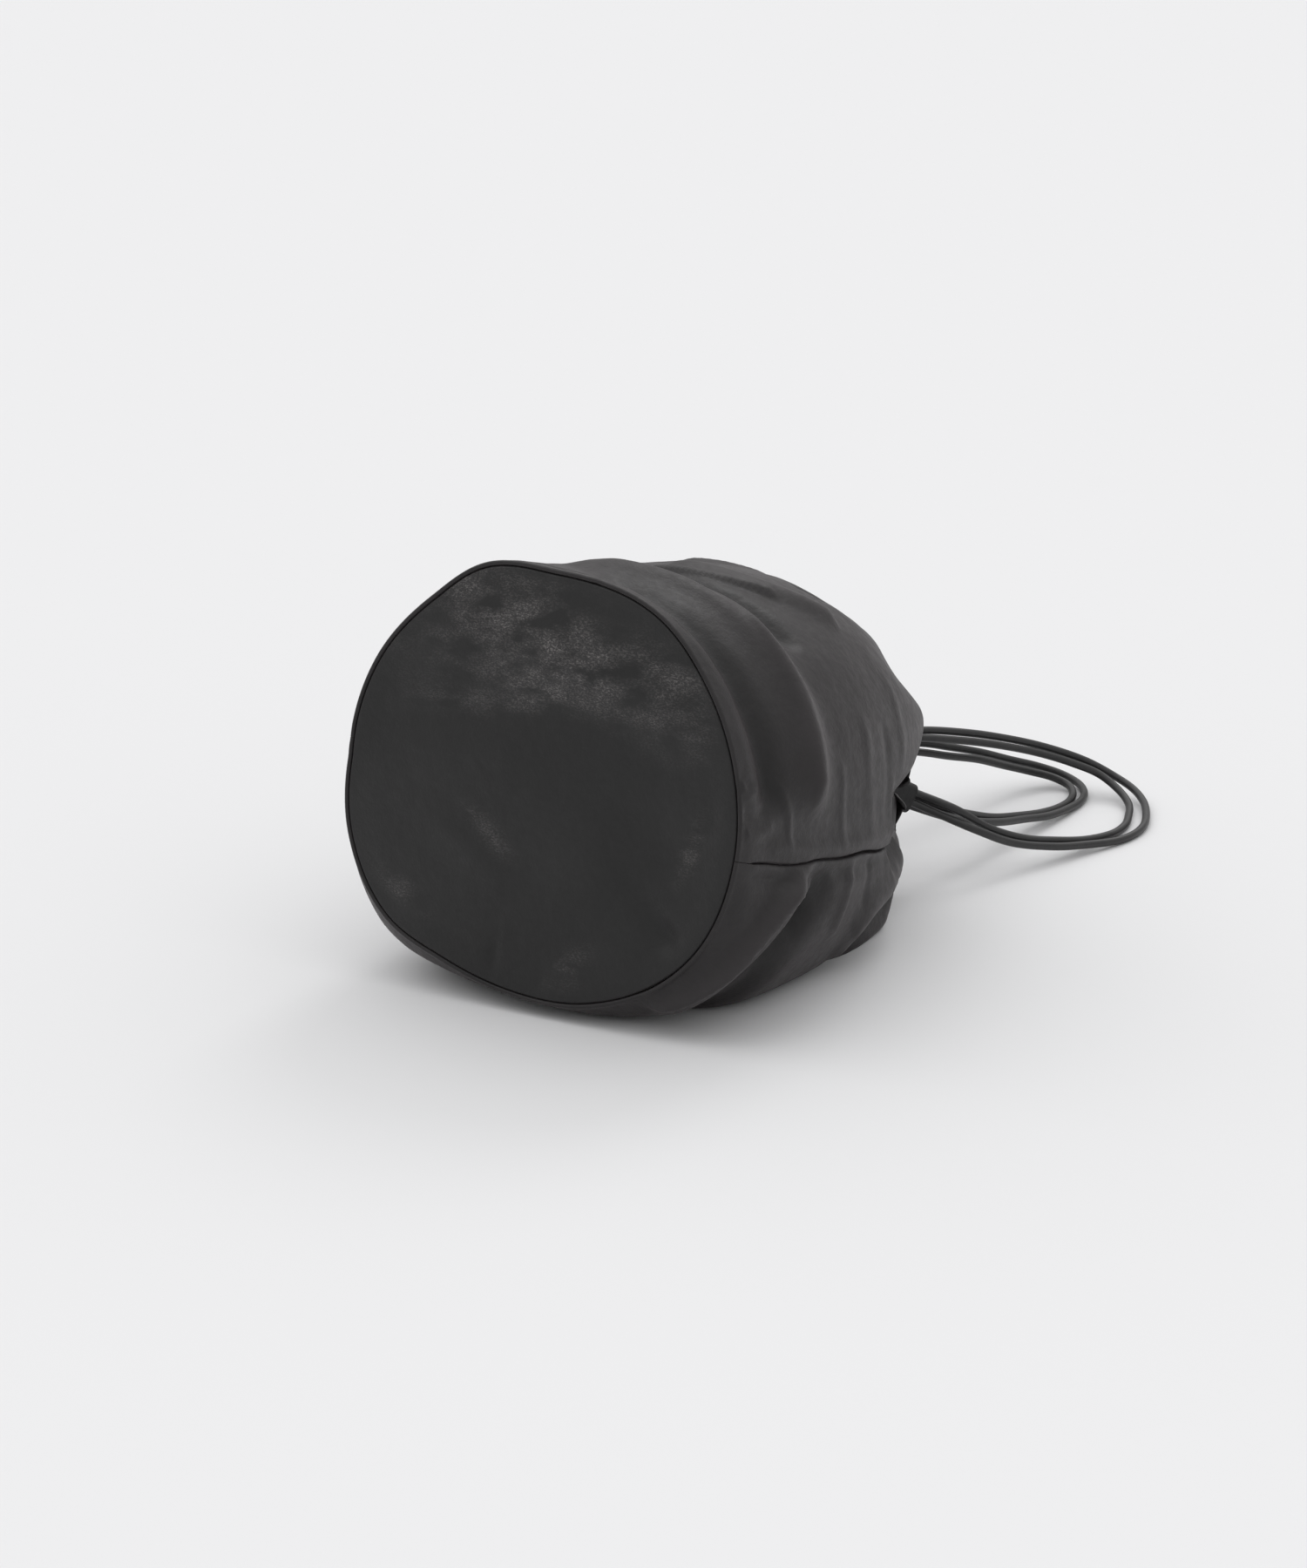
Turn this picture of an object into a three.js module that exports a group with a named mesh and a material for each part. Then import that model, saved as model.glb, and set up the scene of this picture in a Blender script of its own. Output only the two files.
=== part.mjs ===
// A small black leather drawstring bag, lying on its side as it was put down.
// A round base is sewn to two wall panels. Both panels end in a folded channel round the mouth,
// and four cords run from the channels at one side of the mouth to those at the other side.
// A leather keeper, wrapped round all four cords, sits where they leave the mouth on each side.
//
// Millimetres, +Z up. The bag's axis runs along +Y, from the base towards the mouth.
// The origin is in the middle of the flat patch that the bag lies on.
import * as THREE from "three";

// Driving dimensions
const BASE_RADIUS = 100; // the base disc, seam to centre
const BODY_DEPTH = 226; // from the base to the furthest point of the gathered wall
const REST_CENTRE = 76; // from the base to the middle of the patch that the bag lies on
const WALL = 1.3; // leather
const WALL_EXTRA = 0.84; // how much longer the wall is than the bag is deep, in shares of BASE_RADIUS
const CLEARANCE = 0.3; // between pieces that touch
const EDGE_WALL = 1; // the leather where it is pared down to turn in at the base seam
const BASE_ROLL = 1.1; // how tightly it turns in there
const SIDE_ROLL = 1.6; // and at the side seams
const SEAM_ALLOWANCE = 5; // the edge that is turned in behind a seam
const CHANNEL_THICKNESS = 6.4; // the folded channel at the mouth, with the cords inside
const CHANNEL_SHARE = 0.07; // its share of the walk, at the mouth's end
const SLIT_WIDTH = 14; // between the two panels where the cords come out of the mouth
const SLIT_SHARE = 0.3; // the slit's share of the walk, at the mouth's end
const PLEATS = 6; // in each panel, round the mouth
const PLEAT_HEIGHT = 4.5;
const PRESS_TURN = 4; // how softly the wall turns up from the surface that it lies on
const CORD_DIAMETER = 4;
const SLIT_SPREAD = 1.15; // how much further apart the cords lie in a slit than in a keeper
const KEEPER_LENGTH = 20; // along the cords
const KEEPER_WALL = 1.5;
const KEEPER_TAB = 12; // the two joined ends of the strip, below the loop
const KEEPER_TAB_CORNER = 5;

// How finely the leather is divided
const ROWS = 22;
const COLUMNS = 26;
const SPOKES = 52;
const CORD_SIDES = 8;

const degrees = (angle) => (angle * Math.PI) / 180;
const blend = (a, b, share) => a + (b - a) * share;
const ease = (share) => {
  const t = Math.min(1, Math.max(0, share));
  return t * t * (3 - 2 * t);
};

// The sections of the wall, one row for each place on the walk from the base seam to the mouth.
// depth is a share of BODY_DEPTH. The other lengths are shares of BASE_RADIUS:
// height is that of the section's middle, side its shift towards +X, width its half width,
// rise and drop its reach above and below the middle. lean is how far its top lies back, in degrees.
// corner is how square its lower half is: 2 is round.
// right and left are where the side seams run, in degrees from +X by way of the top.
// prettier-ignore
const SECTIONS = [
  { walk: 0.0, depth: 0.008, height: 1.02, side: 0.0, width: 1.01, rise: 1.0, drop: 1.0, lean: 6.9, corner: 2.0, right: -9, left: 175 },
  { walk: 0.06, depth: 0.06, height: 1.0, side: 0.01, width: 1.02, rise: 0.99, drop: 1.02, lean: 6.5, corner: 2.6, right: -10, left: 175 },
  { walk: 0.18, depth: 0.22, height: 0.95, side: 0.02, width: 1.04, rise: 0.95, drop: 1.03, lean: 5, corner: 3.3, right: -12, left: 176 },
  { walk: 0.34, depth: 0.44, height: 0.88, side: 0.03, width: 1.04, rise: 0.92, drop: 1.0, lean: 2, corner: 3.5, right: -15, left: 178 },
  { walk: 0.5, depth: 0.65, height: 0.8, side: 0.04, width: 0.98, rise: 0.91, drop: 0.94, lean: 0, corner: 3.2, right: -17, left: 181 },
  { walk: 0.64, depth: 0.83, height: 0.72, side: 0.06, width: 0.87, rise: 0.84, drop: 0.8, lean: 0, corner: 3.0, right: -15, left: 184 },
  { walk: 0.76, depth: 0.96, height: 0.65, side: 0.09, width: 0.72, rise: 0.64, drop: 0.6, lean: 0, corner: 2.4, right: -10, left: 185 },
  { walk: 0.87, depth: 0.955, height: 0.58, side: 0.12, width: 0.54, rise: 0.4, drop: 0.38, lean: 0, corner: 2, right: -5, left: 184 },
  { walk: 1.0, depth: 0.905, height: 0.54, side: 0.11, width: 0.39, rise: 0.26, drop: 0.26, lean: 0, corner: 2, right: -2, left: 182 },
];

// The outline of the base as it is pushed out of round: reach is a share of BASE_RADIUS
// at each angle, in degrees from +X by way of the top.
const BASE_OUTLINE = [
  { angle: -180, reach: 1.0 },
  { angle: -160, reach: 1.045 },
  { angle: -138, reach: 1.05 },
  { angle: -118, reach: 0.975 },
  { angle: -97, reach: 0.955 },
  { angle: -72, reach: 0.985 },
  { angle: -38, reach: 1.03 },
  { angle: -10, reach: 1.01 },
  { angle: 14, reach: 0.995 },
  { angle: 36, reach: 1.0 },
  { angle: 58, reach: 1.02 },
  { angle: 88, reach: 0.985 },
  { angle: 109, reach: 1.025 },
  { angle: 128, reach: 0.99 },
  { angle: 152, reach: 0.995 },
  { angle: 180, reach: 1.0 },
];

// The folds of the wall. Each one follows a curve from one place to another, by way of a third:
// a place is a share of the walk and an angle in degrees, from +X by way of the top.
// rise and breadth are shares of BASE_RADIUS, and a valley has a rise below zero.
// prettier-ignore
const FOLDS = [
  // the soft ridge that runs round from the top to the right seam
  { from: [0.15, 100], by: [0.22, 42], to: [0.19, -2], rise: 0.06, breadth: 0.11 },
  // the hollow between it and the base
  { from: [0.085, 84], by: [0.095, 40], to: [0.095, 0], rise: -0.055, breadth: 0.095 },
  // the crease and the second ridge behind it
  { from: [0.27, 96], by: [0.31, 68], to: [0.31, 44], rise: -0.045, breadth: 0.07 },
  { from: [0.37, 92], by: [0.43, 68], to: [0.54, 52], rise: 0.04, breadth: 0.09 },
  // the flap below the right seam, and the step behind its edge
  { from: [0.035, -58], by: [0.07, -31], to: [0.18, -14], rise: 0.045, breadth: 0.07 },
  { from: [0.12, -64], by: [0.16, -36], to: [0.27, -18], rise: -0.05, breadth: 0.08 },
  // the two lobes at the lower right, one over the other
  { from: [0.36, -44], by: [0.42, -32], to: [0.56, -27], rise: 0.03, breadth: 0.08 },
  { from: [0.36, -56], by: [0.44, -43], to: [0.6, -37], rise: -0.05, breadth: 0.06 },
  // the hollows where the cords pull the side seams in
  { from: [0.48, -14], by: [0.65, -11], to: [0.87, -5], rise: -0.16, breadth: 0.17 },
  { from: [0.42, 180], by: [0.62, 184], to: [0.88, 184], rise: -0.13, breadth: 0.2 },
  // the hollow below the right seam, over the lobes
  { from: [0.6, -30], by: [0.7, -28], to: [0.84, -26], rise: -0.08, breadth: 0.16 },
];

// The keepers: where the middle of the end away from the mouth is, in millimetres, with beyond
// measured from the mouth, which way it faces, in degrees from +Y towards +X, and how far it dips.
const RIGHT_KEEPER = { x: 58, beyond: 38, z: 40, heading: 30, dip: 28 };
const LEFT_KEEPER = { x: -18, beyond: 36.5, z: 56, heading: 31, dip: 2 };

// Where each cord lies in a keeper, in shares of the pitch, across it and up from its middle.
const BUNDLE_PITCH = CORD_DIAMETER + CLEARANCE;
const BUNDLES = {
  outer_cord_a: { left: [-0.5, 0.5], right: [0.65, -0.3] },
  outer_cord_b: { left: [0.5, 0.5], right: [0.65, 0.8] },
  inner_cord_a: { left: [-0.5, -0.5], right: [-0.65, -0.8] },
  inner_cord_b: { left: [0.5, -0.5], right: [-0.65, 0.3] },
};

// Where each cord lies between the left keeper and the right one, in millimetres: towards +X,
// beyond the mouth, and up.
// prettier-ignore
const CORD_ROUTES = {
  outer_cord_a: [
    [29, 108.5, 50], [39, 129.5, 45], [49, 149.5, 39], [63, 178.5, 28], [79, 198.5, 17],
    [92, 203.5, 10], [104, 200.5, 6], [114, 191.5, 3.5], [123, 175.5, 2.3], [129, 158.5, 2.1],
    [130, 143.5, 2.1], [127, 129.5, 2.5], [120, 112.5, 4.5], [112, 92.5, 8], [100, 68.5, 15],
    [89, 50.5, 25],
  ],
  outer_cord_b: [
    [30.5, 104, 47.5], [40, 123, 42.8], [50.5, 144.5, 36.5], [64, 173, 26], [76, 189, 18],
    [87, 196.5, 12], [99.5, 193.5, 6.4], [109.5, 184, 3.2], [116, 169.5, 2.1], [120.5, 155, 2.1],
    [121, 140, 2.4], [116.5, 119.5, 4.5], [109, 98, 9], [101, 80, 14], [91, 61.5, 23],
    [79.5, 46.5, 35.2],
  ],
  inner_cord_a: [
    [23, 117.5, 40], [31, 139.5, 33], [38, 159.5, 26], [44, 181.5, 17], [52, 198.5, 10],
    [62, 205.5, 5.5], [72, 203.5, 3], [80, 194.5, 2.1], [85, 180.5, 2.1], [86, 163.5, 3],
    [85, 142.5, 5], [82, 120.5, 9], [80, 96.5, 14], [77, 73.5, 20.5], [73, 52.5, 28],
  ],
  inner_cord_b: [
    [25, 111, 37.5], [33.5, 131.5, 31], [40, 151.5, 24.8], [45.5, 172, 16.6], [52, 187.5, 10.4],
    [61, 196.8, 6], [70, 197, 3.2], [76.5, 188.5, 2.1], [80.2, 176, 2.1], [81, 161.5, 3],
    [80, 142.5, 5.5], [77, 121.5, 9.5], [75.2, 97.5, 15.5], [73, 74.5, 23.5], [70, 53.5, 32],
  ],
};

// Reads every column of a table at one place, on a smooth curve through the rows.
function tableAt(rows, key, place) {
  const last = rows.length - 1;
  let i = 0;
  while (i < last - 1 && place > rows[i + 1][key]) i += 1;
  const before = rows[Math.max(0, i - 1)];
  const [a, b] = [rows[i], rows[i + 1]];
  const after = rows[Math.min(last, i + 2)];
  const span = b[key] - a[key];
  const t = (place - a[key]) / span;
  const found = {};
  for (const name of Object.keys(a)) {
    const slopeA = (b[name] - before[name]) / (b[key] - before[key]);
    const slopeB = (after[name] - a[name]) / (after[key] - a[key]);
    found[name] =
      a[name] * (1 + 2 * t) * (1 - t) ** 2 +
      b[name] * t * t * (3 - 2 * t) +
      span * (slopeA * t * (1 - t) ** 2 + slopeB * t * t * (t - 1));
  }
  return found;
}

// Presses a height flat on the surface that the bag lies on, with a soft turn.
function pressed(height) {
  if (height > PRESS_TURN) return height;
  if (height < -PRESS_TURN) return 0;
  return (height + PRESS_TURN) ** 2 / (4 * PRESS_TURN);
}

// The wall's outer skin before folds and pleats.
function plainSkin(walk, angle) {
  const section = tableAt(SECTIONS, "walk", walk);
  const [cosine, sine] = [Math.cos(angle), Math.sin(angle)];
  const corner = sine > 0 ? 2 : section.corner;
  const turned = (THREE.MathUtils.euclideanModulo(angle + Math.PI, 2 * Math.PI) * 180) / Math.PI - 180;
  const outline = blend(tableAt(BASE_OUTLINE, "angle", turned).reach, 1, ease(walk / 0.3));
  const spread = outline * (Math.abs(cosine) ** corner + Math.abs(sine) ** corner) ** (-1 / corner);
  const reach = BASE_RADIUS * (sine > 0 ? section.rise : section.drop) * sine * spread;
  const lean = degrees(section.lean);
  return new THREE.Vector3(
    BASE_RADIUS * (section.side + section.width * cosine * spread),
    BODY_DEPTH * section.depth - REST_CENTRE + reach * Math.sin(lean),
    BASE_RADIUS * section.height + reach * Math.cos(lean),
  );
}

// The outward direction of the plain skin at one place.
function outward(walk, angle) {
  const step = 0.004;
  const low = Math.max(0, walk - step);
  const high = Math.min(1, walk + step);
  const alongWalk = plainSkin(high, angle).sub(plainSkin(low, angle));
  const alongTurn = plainSkin(walk, angle + step).sub(plainSkin(walk, angle - step));
  return alongWalk.cross(alongTurn).normalize();
}

// The height of one fold at a place, measured on the leather laid flat.
function foldAt(fold, walk, angle, radius) {
  const length = BODY_DEPTH + BASE_RADIUS * WALL_EXTRA;
  const flat = ([w, a]) => new THREE.Vector2(w * length, degrees(a) * radius);
  const [start, by, end] = [fold.from, fold.by, fold.to].map(flat);
  let turned = angle;
  const middle = degrees(fold.by[1]);
  while (turned - middle > Math.PI) turned -= 2 * Math.PI;
  while (turned - middle < -Math.PI) turned += 2 * Math.PI;
  const here = new THREE.Vector2(walk * length, turned * radius);
  const curve = new THREE.SplineCurve([start, by, end]);
  const pieces = 12;
  let nearest = Infinity;
  let share = 0;
  for (let i = 0; i < pieces; i += 1) {
    const a = curve.getPoint(i / pieces);
    const b = curve.getPoint((i + 1) / pieces);
    const along = b.clone().sub(a);
    const t = THREE.MathUtils.clamp(here.clone().sub(a).dot(along) / along.lengthSq(), 0, 1);
    const distance = here.distanceTo(a.addScaledVector(along, t));
    if (distance < nearest) {
      nearest = distance;
      share = (i + t) / pieces;
    }
  }
  const ends = 0.2;
  const fade = ease(share / ends + 0.15) * ease((1 - share) / ends + 0.15);
  return fold.rise * BASE_RADIUS * fade * Math.exp(-((nearest / (fold.breadth * BASE_RADIUS)) ** 2));
}

// The pleats that the cords draw together, deeper towards the mouth.
function pleatAt(walk, across) {
  return PLEAT_HEIGHT * ease((walk - 0.55) / 0.4) * Math.cos(2 * Math.PI * PLEATS * across);
}

// The wall's outer skin, with its folds, pressed flat where it lies on the surface.
function foldedSkin(walk, angle, across) {
  const point = plainSkin(walk, angle);
  const radius = BASE_RADIUS * tableAt(SECTIONS, "walk", walk).width;
  let rise = pleatAt(walk, across);
  for (const fold of FOLDS) rise += foldAt(fold, walk, angle, radius);
  point.addScaledVector(outward(walk, angle), rise);
  point.z = pressed(point.z);
  return point;
}

function facets(points, index) {
  const geometry = new THREE.BufferGeometry().setFromPoints(points);
  geometry.setIndex(index);
  geometry.computeVertexNormals();
  return geometry;
}

// A closed shell between an outer and an inner grid of points with the same rows and columns.
function shell(outer, inner) {
  const rows = outer.length;
  const columns = outer[0].length;
  const points = [...outer.flat(), ...inner.flat()];
  const at = (side, i, j) => side * rows * columns + i * columns + j;
  const index = [];
  const quad = (a, b, c, d) => index.push(a, b, c, a, c, d);
  for (let i = 0; i < rows - 1; i += 1) {
    for (let j = 0; j < columns - 1; j += 1) {
      quad(at(0, i, j), at(0, i + 1, j), at(0, i + 1, j + 1), at(0, i, j + 1));
      quad(at(1, i, j), at(1, i, j + 1), at(1, i + 1, j + 1), at(1, i + 1, j));
    }
  }
  const [top, side] = [rows - 1, columns - 1];
  for (let j = 0; j < columns - 1; j += 1) {
    quad(at(0, 0, j), at(0, 0, j + 1), at(1, 0, j + 1), at(1, 0, j));
    quad(at(0, top, j), at(1, top, j), at(1, top, j + 1), at(0, top, j + 1));
  }
  for (let i = 0; i < rows - 1; i += 1) {
    quad(at(0, i, 0), at(1, i, 0), at(1, i + 1, 0), at(0, i + 1, 0));
    quad(at(0, i, side), at(0, i + 1, side), at(1, i + 1, side), at(1, i, side));
  }
  return facets(points, index);
}

// The outward direction at each point of a grid, from its neighbours.
function gridNormals(grid, closedRound) {
  const rows = grid.length;
  const columns = grid[0].length;
  return grid.map((row, i) =>
    row.map((_, j) => {
      const next = closedRound ? (j + 1) % columns : Math.min(columns - 1, j + 1);
      const previous = closedRound ? (j + columns - 1) % columns : Math.max(0, j - 1);
      const across = row[next].clone().sub(row[previous]);
      const up = grid[Math.min(rows - 1, i + 1)][j].clone().sub(grid[Math.max(0, i - 1)][j]);
      return up.cross(across).normalize();
    }),
  );
}

// How far the points of a turned-in edge lie from the seam line, and how far below the skin.
// The edge lies flat where turn is 0 and is turned right in where it is 1.
function seamEdge(turn, allowance) {
  const bend = 1 - Math.SQRT1_2;
  const flat = [0, 0.3, 0.6, 1];
  const turned = [
    { out: 0, under: SIDE_ROLL + allowance },
    { out: 0, under: SIDE_ROLL },
    { out: SIDE_ROLL * bend, under: SIDE_ROLL * bend },
    { out: SIDE_ROLL, under: 0 },
  ];
  return turned.map(({ out, under }, i) => ({
    out: blend(flat[i] * SIDE_ROLL, out, turn),
    under: under * turn,
  }));
}

// One row of a panel, from its first seam to its second, with both edges turned in.
function panelRow(walk, first, second) {
  const nearMouth = 1 - ease((walk - 0.5) / 0.1);
  const open = SLIT_WIDTH * ease((walk - (1 - SLIT_SHARE)) / (SLIT_SHARE / 2));
  const half = (CLEARANCE + open) / 2;
  const step = 0.01;
  const speed = (angle) =>
    plainSkin(walk, angle + step).distanceTo(plainSkin(walk, angle - step)) / (2 * step);
  const [speedFirst, speedSecond] = [speed(first), speed(second)];
  const start = first + (half + SIDE_ROLL) / speedFirst;
  const end = second - (half + SIDE_ROLL) / speedSecond;
  const edge = seamEdge(ease((walk - 0.03) / 0.06), SEAM_ALLOWANCE * nearMouth);
  const places = [
    ...edge.map(({ out, under }) => ({ angle: first + (half + out) / speedFirst, across: 0, under })),
    ...Array.from({ length: COLUMNS - 1 }, (_, j) => {
      const across = (j + 1) / COLUMNS;
      return { angle: blend(start, end, across), across, under: 0 };
    }),
    ...edge
      .reverse()
      .map(({ out, under }) => ({ angle: second - (half + out) / speedSecond, across: 1, under })),
  ];
  return places.map(({ angle, across, under }) => {
    const smooth = outward(walk, angle);
    return { skin: foldedSkin(walk, angle, across).addScaledVector(smooth, -under), smooth };
  });
}

// The base seam's own directions: away from its middle at one place, and inwards along the axis.
const baseLean = degrees(SECTIONS[0].lean);
const baseInwards = new THREE.Vector3(0, Math.cos(baseLean), -Math.sin(baseLean));
const baseMiddle = new THREE.Vector3(
  0,
  BODY_DEPTH * SECTIONS[0].depth - REST_CENTRE,
  BASE_RADIUS * SECTIONS[0].height,
);
function fromBaseMiddle(point) {
  const away = point.clone().sub(baseMiddle);
  return away.addScaledVector(baseInwards, -away.dot(baseInwards)).normalize();
}

// The edge of a panel that turns in at the base seam: the allowance, then four points of the roll.
function baseEdge(row) {
  const bend = (point, alpha, allowance) => {
    const radial = BASE_ROLL * (Math.cos(alpha) - 1);
    const axial = -BASE_ROLL * Math.sin(alpha) + allowance;
    return point
      .clone()
      .addScaledVector(fromBaseMiddle(point), radial)
      .addScaledVector(baseInwards, axial);
  };
  const angles = [180, 135, 90, 45].map(degrees);
  return [
    row.map((point) => bend(point, angles[0], SEAM_ALLOWANCE)),
    ...angles.map((alpha) => row.map((point) => bend(point, alpha, 0))),
  ];
}

// A wall panel between two side seams, named by their columns in the table of sections.
function panel(firstSeam, secondSeam) {
  const walks = Array.from({ length: ROWS + 1 }, (_, i) => i / ROWS);
  const rows = walks.map((walk) => {
    const section = tableAt(SECTIONS, "walk", walk);
    const first = degrees(section[firstSeam]);
    const second = degrees(section[secondSeam] + (firstSeam === "left" ? 360 : 0));
    return panelRow(walk, first, second);
  });
  const skins = rows.map((row) => row.map(({ skin }) => skin));
  const edge = baseEdge(skins[0]);
  const outer = [...edge, ...skins];
  const normals = gridNormals(outer, false);
  const inner = outer.map((row, i) =>
    row.map((point, j) => {
      if (i < edge.length) return point.clone().addScaledVector(normals[i][j], -EDGE_WALL);
      const walk = walks[i - edge.length];
      const channel = ease((walk - (1 - CHANNEL_SHARE)) / 0.02);
      const inwards = normals[i][j].lerp(rows[i - edge.length][j].smooth, channel).normalize();
      const wall = blend(EDGE_WALL, WALL, ease(walk * ROWS));
      return point.clone().addScaledVector(inwards, -blend(wall, CHANNEL_THICKNESS, channel));
    }),
  );
  return shell(outer, inner);
}

// The base: a disc whose rim turns in behind its seam.
function base() {
  const rings = [0.35, 0.65, 0.88];
  const start = 3 * BASE_ROLL + CLEARANCE;
  const turned = [0, 45, 90].map(degrees).map((alpha) => ({
    inset: start - BASE_ROLL * Math.sin(alpha),
    behind: BASE_ROLL * (1 - Math.cos(alpha)),
  }));
  const last = turned[turned.length - 1];
  turned.push({ inset: last.inset, behind: last.behind + SEAM_ALLOWANCE });
  const profile = [
    ...rings.map((share) => ({ inset: BASE_RADIUS * (1 - share) + start * share, behind: 0 })),
    ...turned,
  ];
  const face = -BASE_ROLL;
  const grid = profile.map(({ inset, behind }) =>
    Array.from({ length: SPOKES }, (_, j) => {
      const angle = (j / SPOKES) * 2 * Math.PI;
      const rim = plainSkin(0, angle);
      return rim
        .addScaledVector(fromBaseMiddle(rim), -inset)
        .addScaledVector(baseInwards, face + behind);
    }),
  );
  const normals = gridNormals(grid, true);
  const inner = grid.map((row, i) => {
    const wall = i < rings.length ? WALL : EDGE_WALL;
    return row.map((point, j) => point.clone().addScaledVector(normals[i][j], -wall));
  });
  const middle = baseMiddle.clone().addScaledVector(baseInwards, face);
  return disc(grid, inner, middle, middle.clone().addScaledVector(baseInwards, WALL));
}

// A closed disc from rings of points, outer face and inner face, each with a middle point.
function disc(outer, inner, outerMiddle, innerMiddle) {
  const rows = outer.length;
  const columns = outer[0].length;
  const points = [...outer.flat(), ...inner.flat(), outerMiddle, innerMiddle];
  const at = (side, i, j) => side * rows * columns + i * columns + (j % columns);
  const [front, back] = [points.length - 2, points.length - 1];
  const index = [];
  const quad = (a, b, c, d) => index.push(a, b, c, a, c, d);
  for (let j = 0; j < columns; j += 1) {
    index.push(front, at(0, 0, j), at(0, 0, j + 1));
    index.push(back, at(1, 0, j + 1), at(1, 0, j));
    for (let i = 0; i < rows - 1; i += 1) {
      quad(at(0, i, j), at(0, i + 1, j), at(0, i + 1, j + 1), at(0, i, j + 1));
      quad(at(1, i, j), at(1, i, j + 1), at(1, i + 1, j + 1), at(1, i + 1, j));
    }
    quad(at(0, rows - 1, j), at(1, rows - 1, j), at(1, rows - 1, j + 1), at(0, rows - 1, j + 1));
  }
  return facets(points, index);
}

// The directions of a bundle of cords: along it, away from the mouth, then across, and up.
function bundleFrame(end, along) {
  const across = new THREE.Vector3(along.y, -along.x, 0).normalize();
  return { end, along, across, up: across.clone().cross(along) };
}

// Where the mouth is along the axis; the keepers and the cords lie beyond it.
const mouth = BODY_DEPTH * SECTIONS[SECTIONS.length - 1].depth - REST_CENTRE;

function keeperFrame({ x, beyond, z, heading, dip }) {
  const [turn, fall] = [degrees(heading), degrees(dip)];
  const along = new THREE.Vector3(
    Math.sin(turn) * Math.cos(fall),
    Math.cos(turn) * Math.cos(fall),
    -Math.sin(fall),
  );
  return bundleFrame(new THREE.Vector3(x, mouth + beyond, z), along);
}

// A point in a bundle, by its distance back from the end, and its place across and up.
function inBundle({ end, along, across, up }, back, side, rise) {
  return end
    .clone()
    .addScaledVector(along, -back)
    .addScaledVector(across, side)
    .addScaledVector(up, rise);
}

// A cord: in at the left slit and keeper, round its route, and back in at the right.
function cord(name) {
  const within = (place, seam) => {
    const [across, up] = BUNDLES[name][seam].map((share) => share * BUNDLE_PITCH);
    const keeperPlace = keeperFrame(place);
    const slit = slitMiddle(seam);
    const towards = inBundle(keeperPlace, KEEPER_LENGTH, 0, 0).sub(slit).normalize();
    return [
      inBundle(bundleFrame(slit, towards), 0, across * SLIT_SPREAD, up * SLIT_SPREAD),
      inBundle(keeperPlace, KEEPER_LENGTH + CORD_DIAMETER, across, up),
      inBundle(keeperPlace, KEEPER_LENGTH, across, up),
      inBundle(keeperPlace, 0, across, up),
    ];
  };
  const route = CORD_ROUTES[name].map(([x, beyond, z]) => new THREE.Vector3(x, mouth + beyond, z));
  const path = new THREE.CatmullRomCurve3([
    ...within(LEFT_KEEPER, "left"),
    ...route,
    ...within(RIGHT_KEEPER, "right").reverse(),
  ]);
  // The tube has one step for each of the points, so that the steps are shorter in the bends.
  path.getUtoTmapping = (share) => share;
  const section = new THREE.Shape(
    Array.from({ length: CORD_SIDES }, (_, i) => {
      const angle = ((i + 0.5) / CORD_SIDES) * 2 * Math.PI;
      return new THREE.Vector2(Math.cos(angle), Math.sin(angle)).multiplyScalar(CORD_DIAMETER / 2);
    }),
  );
  return new THREE.ExtrudeGeometry(section, {
    steps: path.points.length - 1,
    curveSegments: 1,
    bevelEnabled: false,
    extrudePath: path,
  });
}

// The middle of a slit, where a bundle of cords leaves the channels at one side of the mouth.
function slitMiddle(seam) {
  const walk = 1 - CHANNEL_SHARE / 2;
  const angle = degrees(tableAt(SECTIONS, "walk", walk)[seam]);
  const skin = foldedSkin(walk, angle, 0);
  return skin.addScaledVector(outward(walk, angle), -CHANNEL_THICKNESS / 2);
}

// The corner arcs of a rounded rectangle, anticlockwise from the lower right, seen from its front.
function roundedCorners(width, height, radius) {
  const corners = [
    [1, -1, -90],
    [1, 1, 0],
    [-1, 1, 90],
    [-1, -1, 180],
  ];
  return corners.flatMap(([x, y, from]) =>
    [0, 30, 60, 90].map((turn) => {
      const angle = degrees(from + turn);
      return [
        x * (width / 2 - radius) + radius * Math.cos(angle),
        y * (height / 2 - radius) + radius * Math.sin(angle),
      ];
    }),
  );
}

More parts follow.
